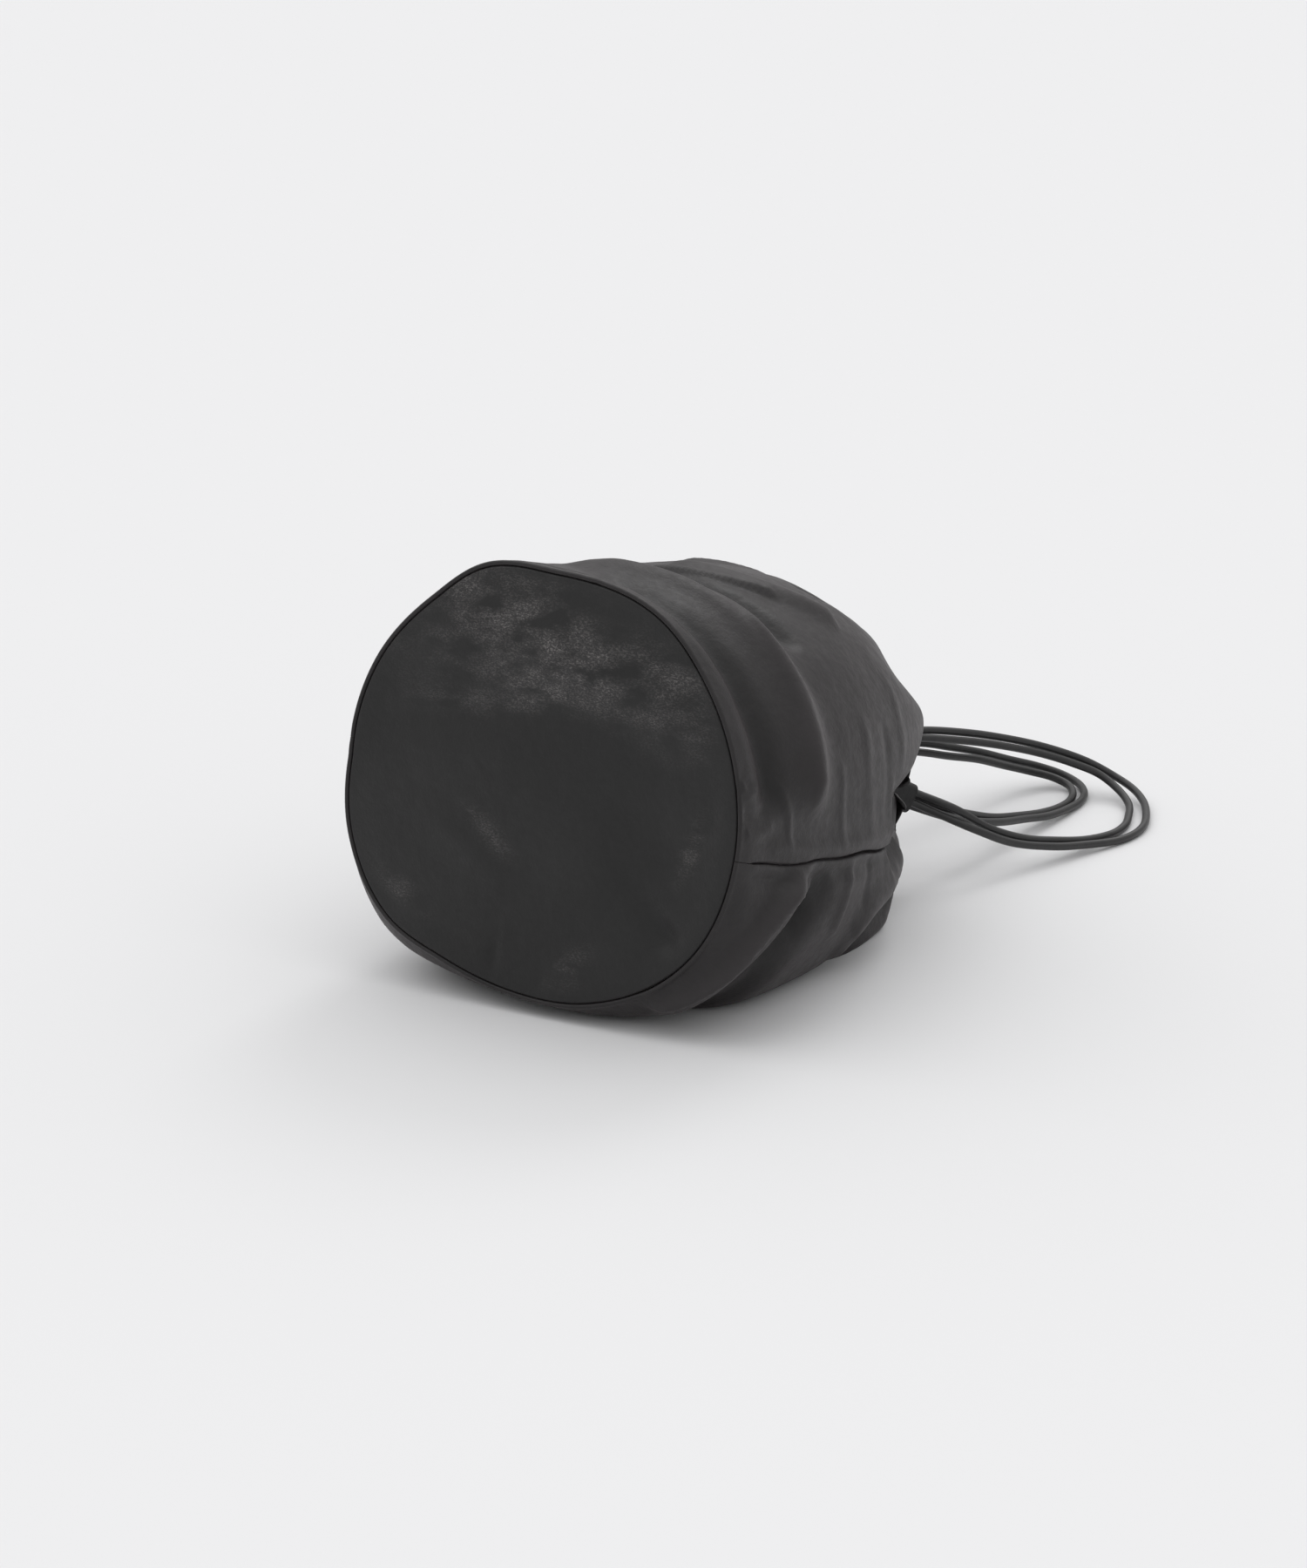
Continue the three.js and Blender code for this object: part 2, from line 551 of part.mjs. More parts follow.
// A keeper: a strip of leather round all the cords, its two ends joined in a tab below them.
function keeper(place, seam) {
  const frame = keeperFrame(place);
  const places = Object.values(BUNDLES).map((bundle) => bundle[seam]);
  const reach = (axis, pick) => pick(...places.map((point) => point[axis])) * BUNDLE_PITCH;
  const room = CORD_DIAMETER + 2 * CLEARANCE;
  const width = reach(0, Math.max) - reach(0, Math.min) + room;
  const height = reach(1, Math.max) - reach(1, Math.min) + room;
  const middle = (reach(1, Math.max) + reach(1, Math.min)) / 2;
  const bottom = -height / 2 - KEEPER_WALL;
  const innerRadius = 2;
  const inner = [
    [0.4 * KEEPER_WALL, -height / 2],
    [0.9 * KEEPER_WALL, -height / 2],
    ...roundedCorners(width, height, innerRadius),
    [-0.9 * KEEPER_WALL, -height / 2],
    [-0.4 * KEEPER_WALL, -height / 2],
  ];
  const loop = roundedCorners(width + 2 * KEEPER_WALL, height + 2 * KEEPER_WALL, innerRadius + KEEPER_WALL);
  // The tab is full length between its rounded corners.
  const tabAt = (back) => {
    const near = Math.min(back, KEEPER_LENGTH - back);
    const short = Math.max(0, KEEPER_TAB_CORNER - near);
    const drop = KEEPER_TAB_CORNER - Math.sqrt(KEEPER_TAB_CORNER ** 2 - short ** 2);
    return KEEPER_TAB - drop;
  };
  const corner = KEEPER_TAB_CORNER;
  const stations = [0, 0.1 * corner, 0.4 * corner, corner, KEEPER_LENGTH / 2]
    .concat([corner, 0.4 * corner, 0.1 * corner, 0].map((near) => KEEPER_LENGTH - near));
  const rows = stations.map((back) => {
    const tab = bottom - tabAt(back);
    const outer = [
      [KEEPER_WALL, tab],
      [KEEPER_WALL, bottom],
      ...loop,
      [-KEEPER_WALL, bottom],
      [-KEEPER_WALL, tab],
    ];
    const place3 = ([side, rise]) => inBundle(frame, back, side, middle + rise);
    return { outer: outer.map(place3), inner: inner.map(place3) };
  });
  return ring(
    rows.map((row) => row.outer),
    rows.map((row) => row.inner),
  );
}

// A closed ring between an outer and an inner grid of points, whose rows close on themselves.
function ring(outer, inner) {
  const rows = outer.length;
  const columns = outer[0].length;
  const points = [...outer.flat(), ...inner.flat()];
  const at = (side, i, j) => side * rows * columns + i * columns + (j % columns);
  const index = [];
  const quad = (a, b, c, d) => index.push(a, b, c, a, c, d);
  const last = rows - 1;
  for (let j = 0; j < columns; j += 1) {
    for (let i = 0; i < last; i += 1) {
      quad(at(0, i, j), at(0, i, j + 1), at(0, i + 1, j + 1), at(0, i + 1, j));
      quad(at(1, i, j), at(1, i + 1, j), at(1, i + 1, j + 1), at(1, i, j + 1));
    }
    quad(at(0, 0, j), at(1, 0, j), at(1, 0, j + 1), at(0, 0, j + 1));
    quad(at(0, last, j), at(0, last, j + 1), at(1, last, j + 1), at(1, last, j));
  }
  return facets(points, index);
}

const leather = new THREE.MeshStandardMaterial({ color: "#2b2a2b", roughness: 0.55, metalness: 0 });
const waxedCord = new THREE.MeshStandardMaterial({ color: "#262627", roughness: 0.5, metalness: 0 });
const named = (name, geometry, material) => {
  const mesh = new THREE.Mesh(geometry, material);
  mesh.name = name;
  return mesh;
};

const bag = new THREE.Group();
bag.add(named("base_disc", base(), leather));
bag.add(named("upper_panel", panel("right", "left"), leather));
bag.add(named("lower_panel", panel("left", "right"), leather));
bag.add(named("right_keeper", keeper(RIGHT_KEEPER, "right"), leather));
bag.add(named("left_keeper", keeper(LEFT_KEEPER, "left"), leather));
for (const name of Object.keys(CORD_ROUTES)) bag.add(named(name, cord(name), waxedCord));

export default bag;
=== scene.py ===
# A small black leather drawstring bag, lying on its side on a pale surface.
# The wall, the base, the keepers and the cords have the forms of the solids, with the finer
# folds, the seams and the surface of the leather added.
# Metres, +Z up. The bag's axis runs along +Y, from the base towards the mouth.
import math

import bpy
import numpy as np
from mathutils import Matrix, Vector, noise


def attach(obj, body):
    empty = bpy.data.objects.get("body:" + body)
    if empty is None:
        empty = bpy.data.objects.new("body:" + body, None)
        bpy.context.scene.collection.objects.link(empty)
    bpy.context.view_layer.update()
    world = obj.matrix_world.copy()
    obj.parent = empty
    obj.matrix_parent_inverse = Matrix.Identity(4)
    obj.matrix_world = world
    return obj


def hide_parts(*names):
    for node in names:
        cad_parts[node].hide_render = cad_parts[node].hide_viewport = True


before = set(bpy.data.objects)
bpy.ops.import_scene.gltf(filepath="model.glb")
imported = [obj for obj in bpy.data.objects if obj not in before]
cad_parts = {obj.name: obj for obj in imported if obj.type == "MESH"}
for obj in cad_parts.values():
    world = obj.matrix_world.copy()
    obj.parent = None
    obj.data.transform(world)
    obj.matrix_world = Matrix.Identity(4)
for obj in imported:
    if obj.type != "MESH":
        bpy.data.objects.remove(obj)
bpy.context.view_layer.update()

MM = 0.001

# The sizes of the bag, as in its solids
BASE_RADIUS = 100 * MM
BODY_DEPTH = 226 * MM
REST_CENTRE = 76 * MM
WALL = 1.3 * MM
WALL_EXTRA = 0.84
EDGE_WALL = 1 * MM
CLEARANCE = 0.3 * MM
BASE_ROLL = 1.1 * MM
SIDE_ROLL = 1.6 * MM
SEAM_ALLOWANCE = 5 * MM
CHANNEL_THICKNESS = 6.4 * MM
CHANNEL_SHARE = 0.07
SLIT_WIDTH = 14 * MM
SLIT_SHARE = 0.3
PLEATS = 6
PLEAT_HEIGHT = 4.5 * MM
PRESS_TURN = 4 * MM
CORD_DIAMETER = 4 * MM
SLIT_SPREAD = 1.15
KEEPER_LENGTH = 20 * MM
KEEPER_WALL = 1.5 * MM
KEEPER_TAB = 12 * MM
KEEPER_TAB_CORNER = 5 * MM

# Over which shares of the walk the leather thickens, from the pared base seam and into the channel
PARED_SHARE = 0.045
CHANNEL_TURN = 0.02

# Where the pleats start on the walk, and over which share of it they rise
PLEATS_START = 0.55
PLEATS_RUN = 0.4

# The share of a fold's run that fades at each end, and a start that keeps its ends from being sharp
FOLD_END = 0.2
FOLD_END_RISE = 0.15

# The side seams gape and wander by this much, up to where their allowance ends
SEAM_GAPE = 1.1 * MM
SEAM_WANDER = 0.9 * MM
ALLOWANCE_END = 0.58
ALLOWANCE_FADE = 0.1

# The base's face is free to dent up to this share of its reach
DENTED_SHARE = 0.86

# Small uneven rises of the wall and the base: how high, how far apart, and where in the noise
WALL_UNEVEN = [dict(rise=0.5 * MM, size=26 * MM, seed=3), dict(rise=0.2 * MM, size=9 * MM, seed=11)]
BASE_UNEVEN = [dict(rise=0.7 * MM, size=30 * MM, seed=5), dict(rise=0.18 * MM, size=8 * MM, seed=17)]

# How finely the leather is divided
PANEL_ROWS = 250
PANEL_COLUMNS = 150
BASE_SPOKES = 288
BASE_RINGS = 70

# The sections of the wall from the base seam to the mouth. depth is a share of BODY_DEPTH, the other
# lengths are shares of BASE_RADIUS, lean and the two side seams are in degrees.
SECTION_COLUMNS = (
    "walk", "depth", "height", "side", "width", "rise", "drop", "lean", "corner", "right", "left",
)
SECTIONS = [
    dict(zip(SECTION_COLUMNS, row))
    for row in [
        (0.0, 0.008, 1.02, 0.0, 1.01, 1.0, 1.0, 6.9, 2.0, -9, 175),
        (0.06, 0.06, 1.0, 0.01, 1.02, 0.99, 1.02, 6.5, 2.6, -10, 175),
        (0.18, 0.22, 0.95, 0.02, 1.04, 0.95, 1.03, 5, 3.3, -12, 176),
        (0.34, 0.44, 0.88, 0.03, 1.04, 0.92, 1.0, 2, 3.5, -15, 178),
        (0.5, 0.65, 0.8, 0.04, 0.98, 0.91, 0.94, 0, 3.2, -17, 181),
        (0.64, 0.83, 0.72, 0.06, 0.87, 0.84, 0.8, 0, 3.0, -15, 184),
        (0.76, 0.96, 0.65, 0.09, 0.72, 0.64, 0.6, 0, 2.4, -10, 185),
        (0.87, 0.955, 0.58, 0.12, 0.54, 0.4, 0.38, 0, 2, -5, 184),
        (1.0, 0.905, 0.54, 0.11, 0.39, 0.26, 0.26, 0, 2, -2, 182),
    ]
]

# The outline of the base, pushed out of round: reach is a share of BASE_RADIUS.
BASE_OUTLINE = [
    dict(angle=angle, reach=reach)
    for angle, reach in [
        (-180, 1.0), (-160, 1.045), (-138, 1.05), (-118, 0.975), (-97, 0.955), (-72, 0.985),
        (-38, 1.03), (-10, 1.01), (14, 0.995), (36, 1.0), (58, 1.02), (88, 0.985), (109, 1.025),
        (128, 0.99), (152, 0.995), (180, 1.0),
    ]
]

# The folds of the wall that the solids have. A place is a share of the walk and an angle in degrees.
# rise and breadth are shares of BASE_RADIUS.
FOLDS = [
    # the soft ridge that runs round from the top to the right seam
    dict(start=(0.15, 100), by=(0.22, 42), end=(0.19, -2), rise=0.06, breadth=0.11),
    # the hollow between it and the base
    dict(start=(0.085, 84), by=(0.095, 40), end=(0.095, 0), rise=-0.055, breadth=0.095),
    # the crease and the second ridge behind it
    dict(start=(0.27, 96), by=(0.31, 68), end=(0.31, 44), rise=-0.045, breadth=0.07),
    dict(start=(0.37, 92), by=(0.43, 68), end=(0.54, 52), rise=0.04, breadth=0.09),
    # the flap below the right seam, and the step behind its edge
    dict(start=(0.035, -58), by=(0.07, -31), end=(0.18, -14), rise=0.045, breadth=0.07),
    dict(start=(0.12, -64), by=(0.16, -36), end=(0.27, -18), rise=-0.05, breadth=0.08),
    # the two lobes at the lower right, one over the other
    dict(start=(0.36, -44), by=(0.42, -32), end=(0.56, -27), rise=0.03, breadth=0.08),
    dict(start=(0.36, -56), by=(0.44, -43), end=(0.6, -37), rise=-0.05, breadth=0.06),
    # the hollows where the cords pull the side seams in
    dict(start=(0.48, -14), by=(0.65, -11), end=(0.87, -5), rise=-0.16, breadth=0.17),
    dict(start=(0.42, 180), by=(0.62, 184), end=(0.88, 184), rise=-0.13, breadth=0.2),
    # the hollow below the right seam, over the lobes
    dict(start=(0.6, -30), by=(0.7, -28), end=(0.84, -26), rise=-0.08, breadth=0.16),
]

# Finer folds, which only show on the surface. steep narrows the side on a fold's right, as it runs
# from its start, and widens the other side.
FINE_FOLDS = [
    # the crest of the main ridge, steep towards the base, and the shallow valley above it
    dict(start=(0.24, 74), by=(0.205, 34), end=(0.19, -1), rise=0.018, breadth=0.05, steep=0.45),
    dict(start=(0.3, 74), by=(0.285, 55), end=(0.3, 46), rise=-0.016, breadth=0.03),
    # the second ridge over the top
    dict(start=(0.3, 92), by=(0.36, 76), end=(0.42, 62), rise=0.022, breadth=0.035, steep=0.4),
    # soft ridges that run up from the right seam
    dict(start=(0.4, 24), by=(0.375, 4), end=(0.39, -13), rise=0.006, breadth=0.045),
    dict(start=(0.29, 12), by=(0.285, -2), end=(0.29, -11), rise=0.007, breadth=0.03),
    dict(start=(0.12, 10), by=(0.135, 2), end=(0.14, -7), rise=0.008, breadth=0.022),
    dict(start=(0.57, 34), by=(0.54, 14), end=(0.5, -4), rise=0.006, breadth=0.05),
    dict(start=(0.47, 20), by=(0.455, 6), end=(0.45, -10), rise=-0.006, breadth=0.04),
    # pinches beside the base seam
    dict(start=(0.0, 10), by=(0.03, 8), end=(0.07, 10), rise=0.012, breadth=0.02),
    dict(start=(0.0, 3), by=(0.04, 2), end=(0.09, 3), rise=-0.01, breadth=0.02),
    dict(start=(0.01, -2), by=(0.05, -3), end=(0.1, -1), rise=0.012, breadth=0.018),
    dict(start=(0.0, 78), by=(0.03, 74), end=(0.07, 70), rise=0.008, breadth=0.02),
    # the double line behind the top of the base
    dict(start=(0.035, 112), by=(0.035, 78), end=(0.045, 48), rise=-0.02, breadth=0.022, steep=0.3),
    # the upper panel hangs over the right seam, and the lower one falls away from it
    dict(start=(0.08, -6), by=(0.3, -11.5), end=(0.62, -12), rise=0.02, breadth=0.035),
    dict(start=(0.02, -13), by=(0.3, -18), end=(0.62, -19), rise=-0.016, breadth=0.03),
    dict(start=(0.0, 175), by=(0.3, 177.5), end=(0.62, 183.5), rise=-0.03, breadth=0.03),
    # gathers just under the right seam
    dict(start=(0.33, -16), by=(0.315, -25), end=(0.3, -34), rise=0.016, breadth=0.035, steep=-0.4),
    dict(start=(0.4, -17), by=(0.39, -23), end=(0.38, -30), rise=-0.008, breadth=0.03),
    dict(start=(0.24, -17), by=(0.22, -24), end=(0.2, -32), rise=-0.016, breadth=0.035),
    # the edge of the flap, with the hollow behind it
    dict(start=(0.02, -58), by=(0.07, -29), end=(0.21, -13), rise=0.035, breadth=0.04, steep=0.5),
    dict(start=(0.075, -64), by=(0.11, -38), end=(0.23, -21), rise=-0.06, breadth=0.055, steep=-0.5),
    # the upper lobe, the crease below it, and the lower lobe
    dict(start=(0.37, -36), by=(0.44, -28), end=(0.62, -25), rise=0.015, breadth=0.06),
    dict(start=(0.365, -48), by=(0.42, -37.5), end=(0.66, -34), rise=-0.045, breadth=0.025, steep=-0.4),
    dict(start=(0.33, -60), by=(0.42, -50), end=(0.62, -43), rise=0.065, breadth=0.07),
    # the dimple near the top of the far end
    dict(start=(0.58, 72), by=(0.6, 68), end=(0.61, 63), rise=-0.018, breadth=0.03),
    # long soft folds over the top and the back
    dict(start=(0.2, 132), by=(0.26, 118), end=(0.42, 104), rise=0.02, breadth=0.06),
    dict(start=(0.12, 150), by=(0.24, 142), end=(0.5, 128), rise=-0.02, breadth=0.06),
    dict(start=(0.3, 170), by=(0.42, 160), end=(0.62, 150), rise=0.02, breadth=0.05),
    dict(start=(0.15, 200), by=(0.3, 206), end=(0.5, 200), rise=-0.02, breadth=0.06),
    dict(start=(0.2, 222), by=(0.36, 226), end=(0.56, 218), rise=0.02, breadth=0.06),
    dict(start=(0.5, 100), by=(0.6, 92), end=(0.74, 90), rise=0.02, breadth=0.05),
    dict(start=(0.5, 128), by=(0.62, 122), end=(0.76, 116), rise=-0.018, breadth=0.05),
]

# The form of the base's face: a middle, its two half widths, a turn in degrees and a rise,
# all lengths as shares of BASE_RADIUS, across and up.
BASE_DENTS = [
    dict(middle=(-0.15, 0.1), spread=(0.6, 0.5), turn=20, rise=0.035),
    dict(middle=(0.66, -0.2), spread=(0.26, 0.5), turn=12, rise=-0.03),
    dict(middle=(0.15, 0.6), spread=(0.5, 0.16), turn=-14, rise=0.035),
    dict(middle=(-0.5, 0.62), spread=(0.3, 0.12), turn=28, rise=0.02),
    dict(middle=(-0.4, 0.3), spread=(0.45, 0.12), turn=14, rise=-0.022),
    dict(middle=(0.45, 0.3), spread=(0.3, 0.12), turn=-24, rise=-0.014),
    dict(middle=(0.62, 0.62), spread=(0.16, 0.08), turn=-40, rise=-0.012),
    dict(middle=(0.72, -0.62), spread=(0.06, 0.28), turn=40, rise=-0.035),
    dict(middle=(0.84, -0.05), spread=(0.06, 0.2), turn=-25, rise=-0.02),
    dict(middle=(-0.2, -0.85), spread=(0.025, 0.16), turn=-8, rise=-0.014),
    dict(middle=(0.05, -0.92), spread=(0.022, 0.12), turn=-3, rise=-0.012),
    dict(middle=(-0.75, 0.5), spread=(0.14, 0.3), turn=-32, rise=-0.02),
    dict(middle=(-0.3, -0.35), spread=(0.3, 0.08), turn=-30, rise=0.01),
]

# Where the base is scuffed, and where sheen is painted on it as pale colour: a middle, two half widths, a
# turn and how strongly.
BASE_SCUFFS_AND_SHEEN = [
    dict(middle=(0.16, 0.62), spread=(0.3, 0.13), turn=-24, strength=1.0),
    dict(middle=(0.0, 0.48), spread=(0.26, 0.09), turn=-4, strength=0.9),
    # a broad patch at the upper left: painted sheen where the face tips up towards the light
    dict(middle=(-0.3, 0.72), spread=(0.45, 0.22), turn=16, strength=0.45),
    dict(middle=(-0.25, 0.78), spread=(0.26, 0.1), turn=-20, strength=0.6),
    dict(middle=(0.6, 0.62), spread=(0.2, 0.1), turn=-20, strength=0.6),
    dict(middle=(0.62, 0.4), spread=(0.2, 0.12), turn=-20, strength=0.5),
    dict(middle=(-0.34, 0.35), spread=(0.3, 0.05), turn=6, strength=0.5),
    dict(middle=(-0.25, -0.2), spread=(0.16, 0.05), turn=-45, strength=0.4),
    dict(middle=(-0.7, -0.55), spread=(0.14, 0.05), turn=-30, strength=0.5),
    dict(middle=(0.2, -0.78), spread=(0.06, 0.12), turn=-40, strength=0.35),
    dict(middle=(0.76, -0.15), spread=(0.04, 0.14), turn=-20, strength=0.45),
]

# The keepers: the middle of the end away from the mouth, and the way it faces. beyond is measured
# from the mouth.
RIGHT_KEEPER = dict(x=58, beyond=38, z=40, heading=30, dip=28)
LEFT_KEEPER = dict(x=-18, beyond=36.5, z=56, heading=31, dip=2)

# Where each cord lies in a keeper, in shares of the pitch, across it and up from its middle
BUNDLE_PITCH = CORD_DIAMETER + CLEARANCE
BUNDLES = {
    "outer_cord_a": dict(left=(-0.5, 0.5), right=(0.65, -0.3)),
    "outer_cord_b": dict(left=(0.5, 0.5), right=(0.65, 0.8)),
    "inner_cord_a": dict(left=(-0.5, -0.5), right=(-0.65, -0.8)),
    "inner_cord_b": dict(left=(0.5, -0.5), right=(-0.65, 0.3)),
}

# Where each cord lies between the left keeper and the right one, in millimetres: towards +X,
# beyond the mouth, and up
CORD_ROUTES = {
    "outer_cord_a": [
        (29, 108.5, 50), (39, 129.5, 45), (49, 149.5, 39), (63, 178.5, 28), (79, 198.5, 17),
        (92, 203.5, 10), (104, 200.5, 6), (114, 191.5, 3.5), (123, 175.5, 2.3), (129, 158.5, 2.1),
        (130, 143.5, 2.1), (127, 129.5, 2.5), (120, 112.5, 4.5), (112, 92.5, 8), (100, 68.5, 15),
        (89, 50.5, 25),
    ],
    "outer_cord_b": [
        (30.5, 104, 47.5), (40, 123, 42.8), (50.5, 144.5, 36.5), (64, 173, 26), (76, 189, 18),
        (87, 196.5, 12), (99.5, 193.5, 6.4), (109.5, 184, 3.2), (116, 169.5, 2.1), (120.5, 155, 2.1),
        (121, 140, 2.4), (116.5, 119.5, 4.5), (109, 98, 9), (101, 80, 14), (91, 61.5, 23),
        (79.5, 46.5, 35.2),
    ],
    "inner_cord_a": [
        (23, 117.5, 40), (31, 139.5, 33), (38, 159.5, 26), (44, 181.5, 17), (52, 198.5, 10),
        (62, 205.5, 5.5), (72, 203.5, 3), (80, 194.5, 2.1), (85, 180.5, 2.1), (86, 163.5, 3),
        (85, 142.5, 5), (82, 120.5, 9), (80, 96.5, 14), (77, 73.5, 20.5), (73, 52.5, 28),
    ],
    "inner_cord_b": [
        (25, 111, 37.5), (33.5, 131.5, 31), (40, 151.5, 24.8), (45.5, 172, 16.6), (52, 187.5, 10.4),
        (61, 196.8, 6), (70, 197, 3.2), (76.5, 188.5, 2.1), (80.2, 176, 2.1), (81, 161.5, 3),
        (80, 142.5, 5.5), (77, 121.5, 9.5), (75.2, 97.5, 15.5), (73, 74.5, 23.5), (70, 53.5, 32),
    ],
}


def ease(share):
    t = np.clip(share, 0, 1)
    return t * t * (3 - 2 * t)


def blend(a, b, share):
    return a + (b - a) * share


# Reads every column of a table at many places, on a smooth curve through the rows.
def table_at(rows, key, place):
    names = list(rows[0])
    table = {name: np.array([row[name] for row in rows], float) for name in names}
    keys = table[key]
    last = len(rows) - 1
    place = np.asarray(place, float)
    i = np.clip(np.searchsorted(keys, place, side="left") - 1, 0, last - 1)
    before = np.maximum(i - 1, 0)
    after = np.minimum(i + 2, last)
    span = keys[i + 1] - keys[i]
    t = (place - keys[i]) / span
    found = {}
    for name in names:
        column = table[name]
        slope_a = (column[i + 1] - column[before]) / (keys[i + 1] - keys[before])
        slope_b = (column[after] - column[i]) / (keys[after] - keys[i])
        found[name] = (
            column[i] * (1 + 2 * t) * (1 - t) ** 2
            + column[i + 1] * t * t * (3 - 2 * t)
            + span * (slope_a * t * (1 - t) ** 2 + slope_b * t * t * (t - 1))
        )
    return found


# Presses heights flat on the surface that the bag lies on, with a soft turn.
def pressed(height):
    soft = (height + PRESS_TURN) ** 2 / (4 * PRESS_TURN)
    return np.where(height > PRESS_TURN, height, np.where(height < -PRESS_TURN, 0, soft))


# The wall's outer skin before folds and pleats, at each walk and angle.
def plain_skin(walk, angle):
    section = table_at(SECTIONS, "walk", walk)
    cosine, sine = np.cos(angle), np.sin(angle)
    corner = np.where(sine > 0, 2, section["corner"])
    turned = np.degrees(np.mod(angle + math.pi, 2 * math.pi)) - 180
    outline = blend(table_at(BASE_OUTLINE, "angle", turned)["reach"], 1, ease(walk / 0.3))
    spread = outline * (np.abs(cosine) ** corner + np.abs(sine) ** corner) ** (-1 / corner)
    reach = BASE_RADIUS * np.where(sine > 0, section["rise"], section["drop"]) * sine * spread
    lean = np.radians(section["lean"])
    return np.stack(
        [
            BASE_RADIUS * (section["side"] + section["width"] * cosine * spread),
            BODY_DEPTH * section["depth"] - REST_CENTRE + reach * np.sin(lean),
            BASE_RADIUS * section["height"] + reach * np.cos(lean),
        ],
        axis=-1,
    )


def unit(vectors):
    return vectors / np.maximum(np.linalg.norm(vectors, axis=-1, keepdims=True), 1e-12)


# The outward direction of the plain skin.
def outward(walk, angle):
    step = 0.004
    low, high = np.maximum(0, walk - step), np.minimum(1, walk + step)
    along_walk = plain_skin(high, angle) - plain_skin(low, angle)
    along_turn = plain_skin(walk, angle + step) - plain_skin(walk, angle - step)
    return unit(np.cross(along_walk, along_turn))


# A point on the curve that a fold follows from its start to its end, by way of a third place.
def on_curve(places, share):
    last = len(places) - 1
    i = min(int(share * last), last - 1)
    t = share * last - i
    p0, p1, p2, p3 = (places[k] for k in (max(0, i - 1), i, i + 1, min(last, i + 2)))
    v0, v1 = (p2 - p0) / 2, (p3 - p1) / 2
    return (2 * p1 - 2 * p2 + v0 + v1) * t**3 + (3 * p2 - 3 * p1 - 2 * v0 - v1) * t**2 + v0 * t + p1


# The height of one fold, measured on the leather laid flat.
def fold_at(fold, walk, angle, radius):
    length = BODY_DEPTH + BASE_RADIUS * WALL_EXTRA
    middle = math.radians(fold["by"][1])
    turned = np.mod(angle - middle + math.pi, 2 * math.pi) + middle - math.pi
    here = np.stack([walk * length, turned * radius], axis=-1)
    places = [
        np.stack([np.full_like(radius, place[0] * length), math.radians(place[1]) * radius], axis=-1)
        for place in (fold["start"], fold["by"], fold["end"])
    ]
    pieces = 12
    nearest = np.full(walk.shape, np.inf)
    share = np.zeros(walk.shape)
    right = np.zeros(walk.shape)
    for i in range(pieces):
        a, b = on_curve(places, i / pieces), on_curve(places, (i + 1) / pieces)
        along = b - a
        t = np.clip(np.sum((here - a) * along, axis=-1) / np.sum(along * along, axis=-1), 0, 1)
        away = here - a - along * t[..., None]
        distance = np.linalg.norm(away, axis=-1)
        closer = distance < nearest
        side = np.sign(along[..., 1] * away[..., 0] - along[..., 0] * away[..., 1])
        right = np.where(closer, side, right)
        nearest = np.where(closer, distance, nearest)
        share = np.where(closer, (i + t) / pieces, share)
    fade = ease(share / FOLD_END + FOLD_END_RISE) * ease((1 - share) / FOLD_END + FOLD_END_RISE)
    breadth = fold["breadth"] * BASE_RADIUS * (1 - fold.get("steep", 0) * right)
    return fold["rise"] * BASE_RADIUS * fade * np.exp(-((nearest / breadth) ** 2))


# The pleats that the cords draw together, deeper towards the mouth.
def pleat_at(walk, across):
    return PLEAT_HEIGHT * ease((walk - PLEATS_START) / PLEATS_RUN) * np.cos(2 * math.pi * PLEATS * across)


# Small uneven rises of soft leather at each point of a grid.
def uneven(points, waves):
    rise = np.zeros(points.shape[:-1])
    for wave in waves:
        flat = points.reshape(-1, 3) / wave["size"] + wave["seed"]
        heights = [noise.noise(Vector(point)) for point in flat]
        rise = rise + wave["rise"] * np.array(heights).reshape(rise.shape)
    return rise


# The wall's outer skin with all its folds, and how far it stands out on crests.
def folded_skin(walk, angle, across):
    plain = plain_skin(walk, angle)
    radius = BASE_RADIUS * table_at(SECTIONS, "walk", walk)["width"]
    rise = pleat_at(walk, across)
    crest = np.zeros(walk.shape)
    for fold in FOLDS + FINE_FOLDS:
        height = fold_at(fold, walk, angle, radius)
        rise = rise + height
        crest = crest + height
    inside = ease(walk / 0.03)
    rise = rise + inside * uneven(plain, WALL_UNEVEN)
    points = plain + outward(walk, angle) * rise[..., None]
    points[..., 2] = pressed(points[..., 2])
    return points, crest


# The base seam's own directions
BASE_LEAN = math.radians(SECTIONS[0]["lean"])
BASE_INWARDS = np.array([0, math.cos(BASE_LEAN), -math.sin(BASE_LEAN)])
BASE_UP = np.array([0, math.sin(BASE_LEAN), math.cos(BASE_LEAN)])
BASE_MIDDLE = np.array(
    [0, BODY_DEPTH * SECTIONS[0]["depth"] - REST_CENTRE, BASE_RADIUS * SECTIONS[0]["height"]]
)


def from_base_middle(points):
    away = points - BASE_MIDDLE
    return unit(away - (away @ BASE_INWARDS)[..., None] * BASE_INWARDS)


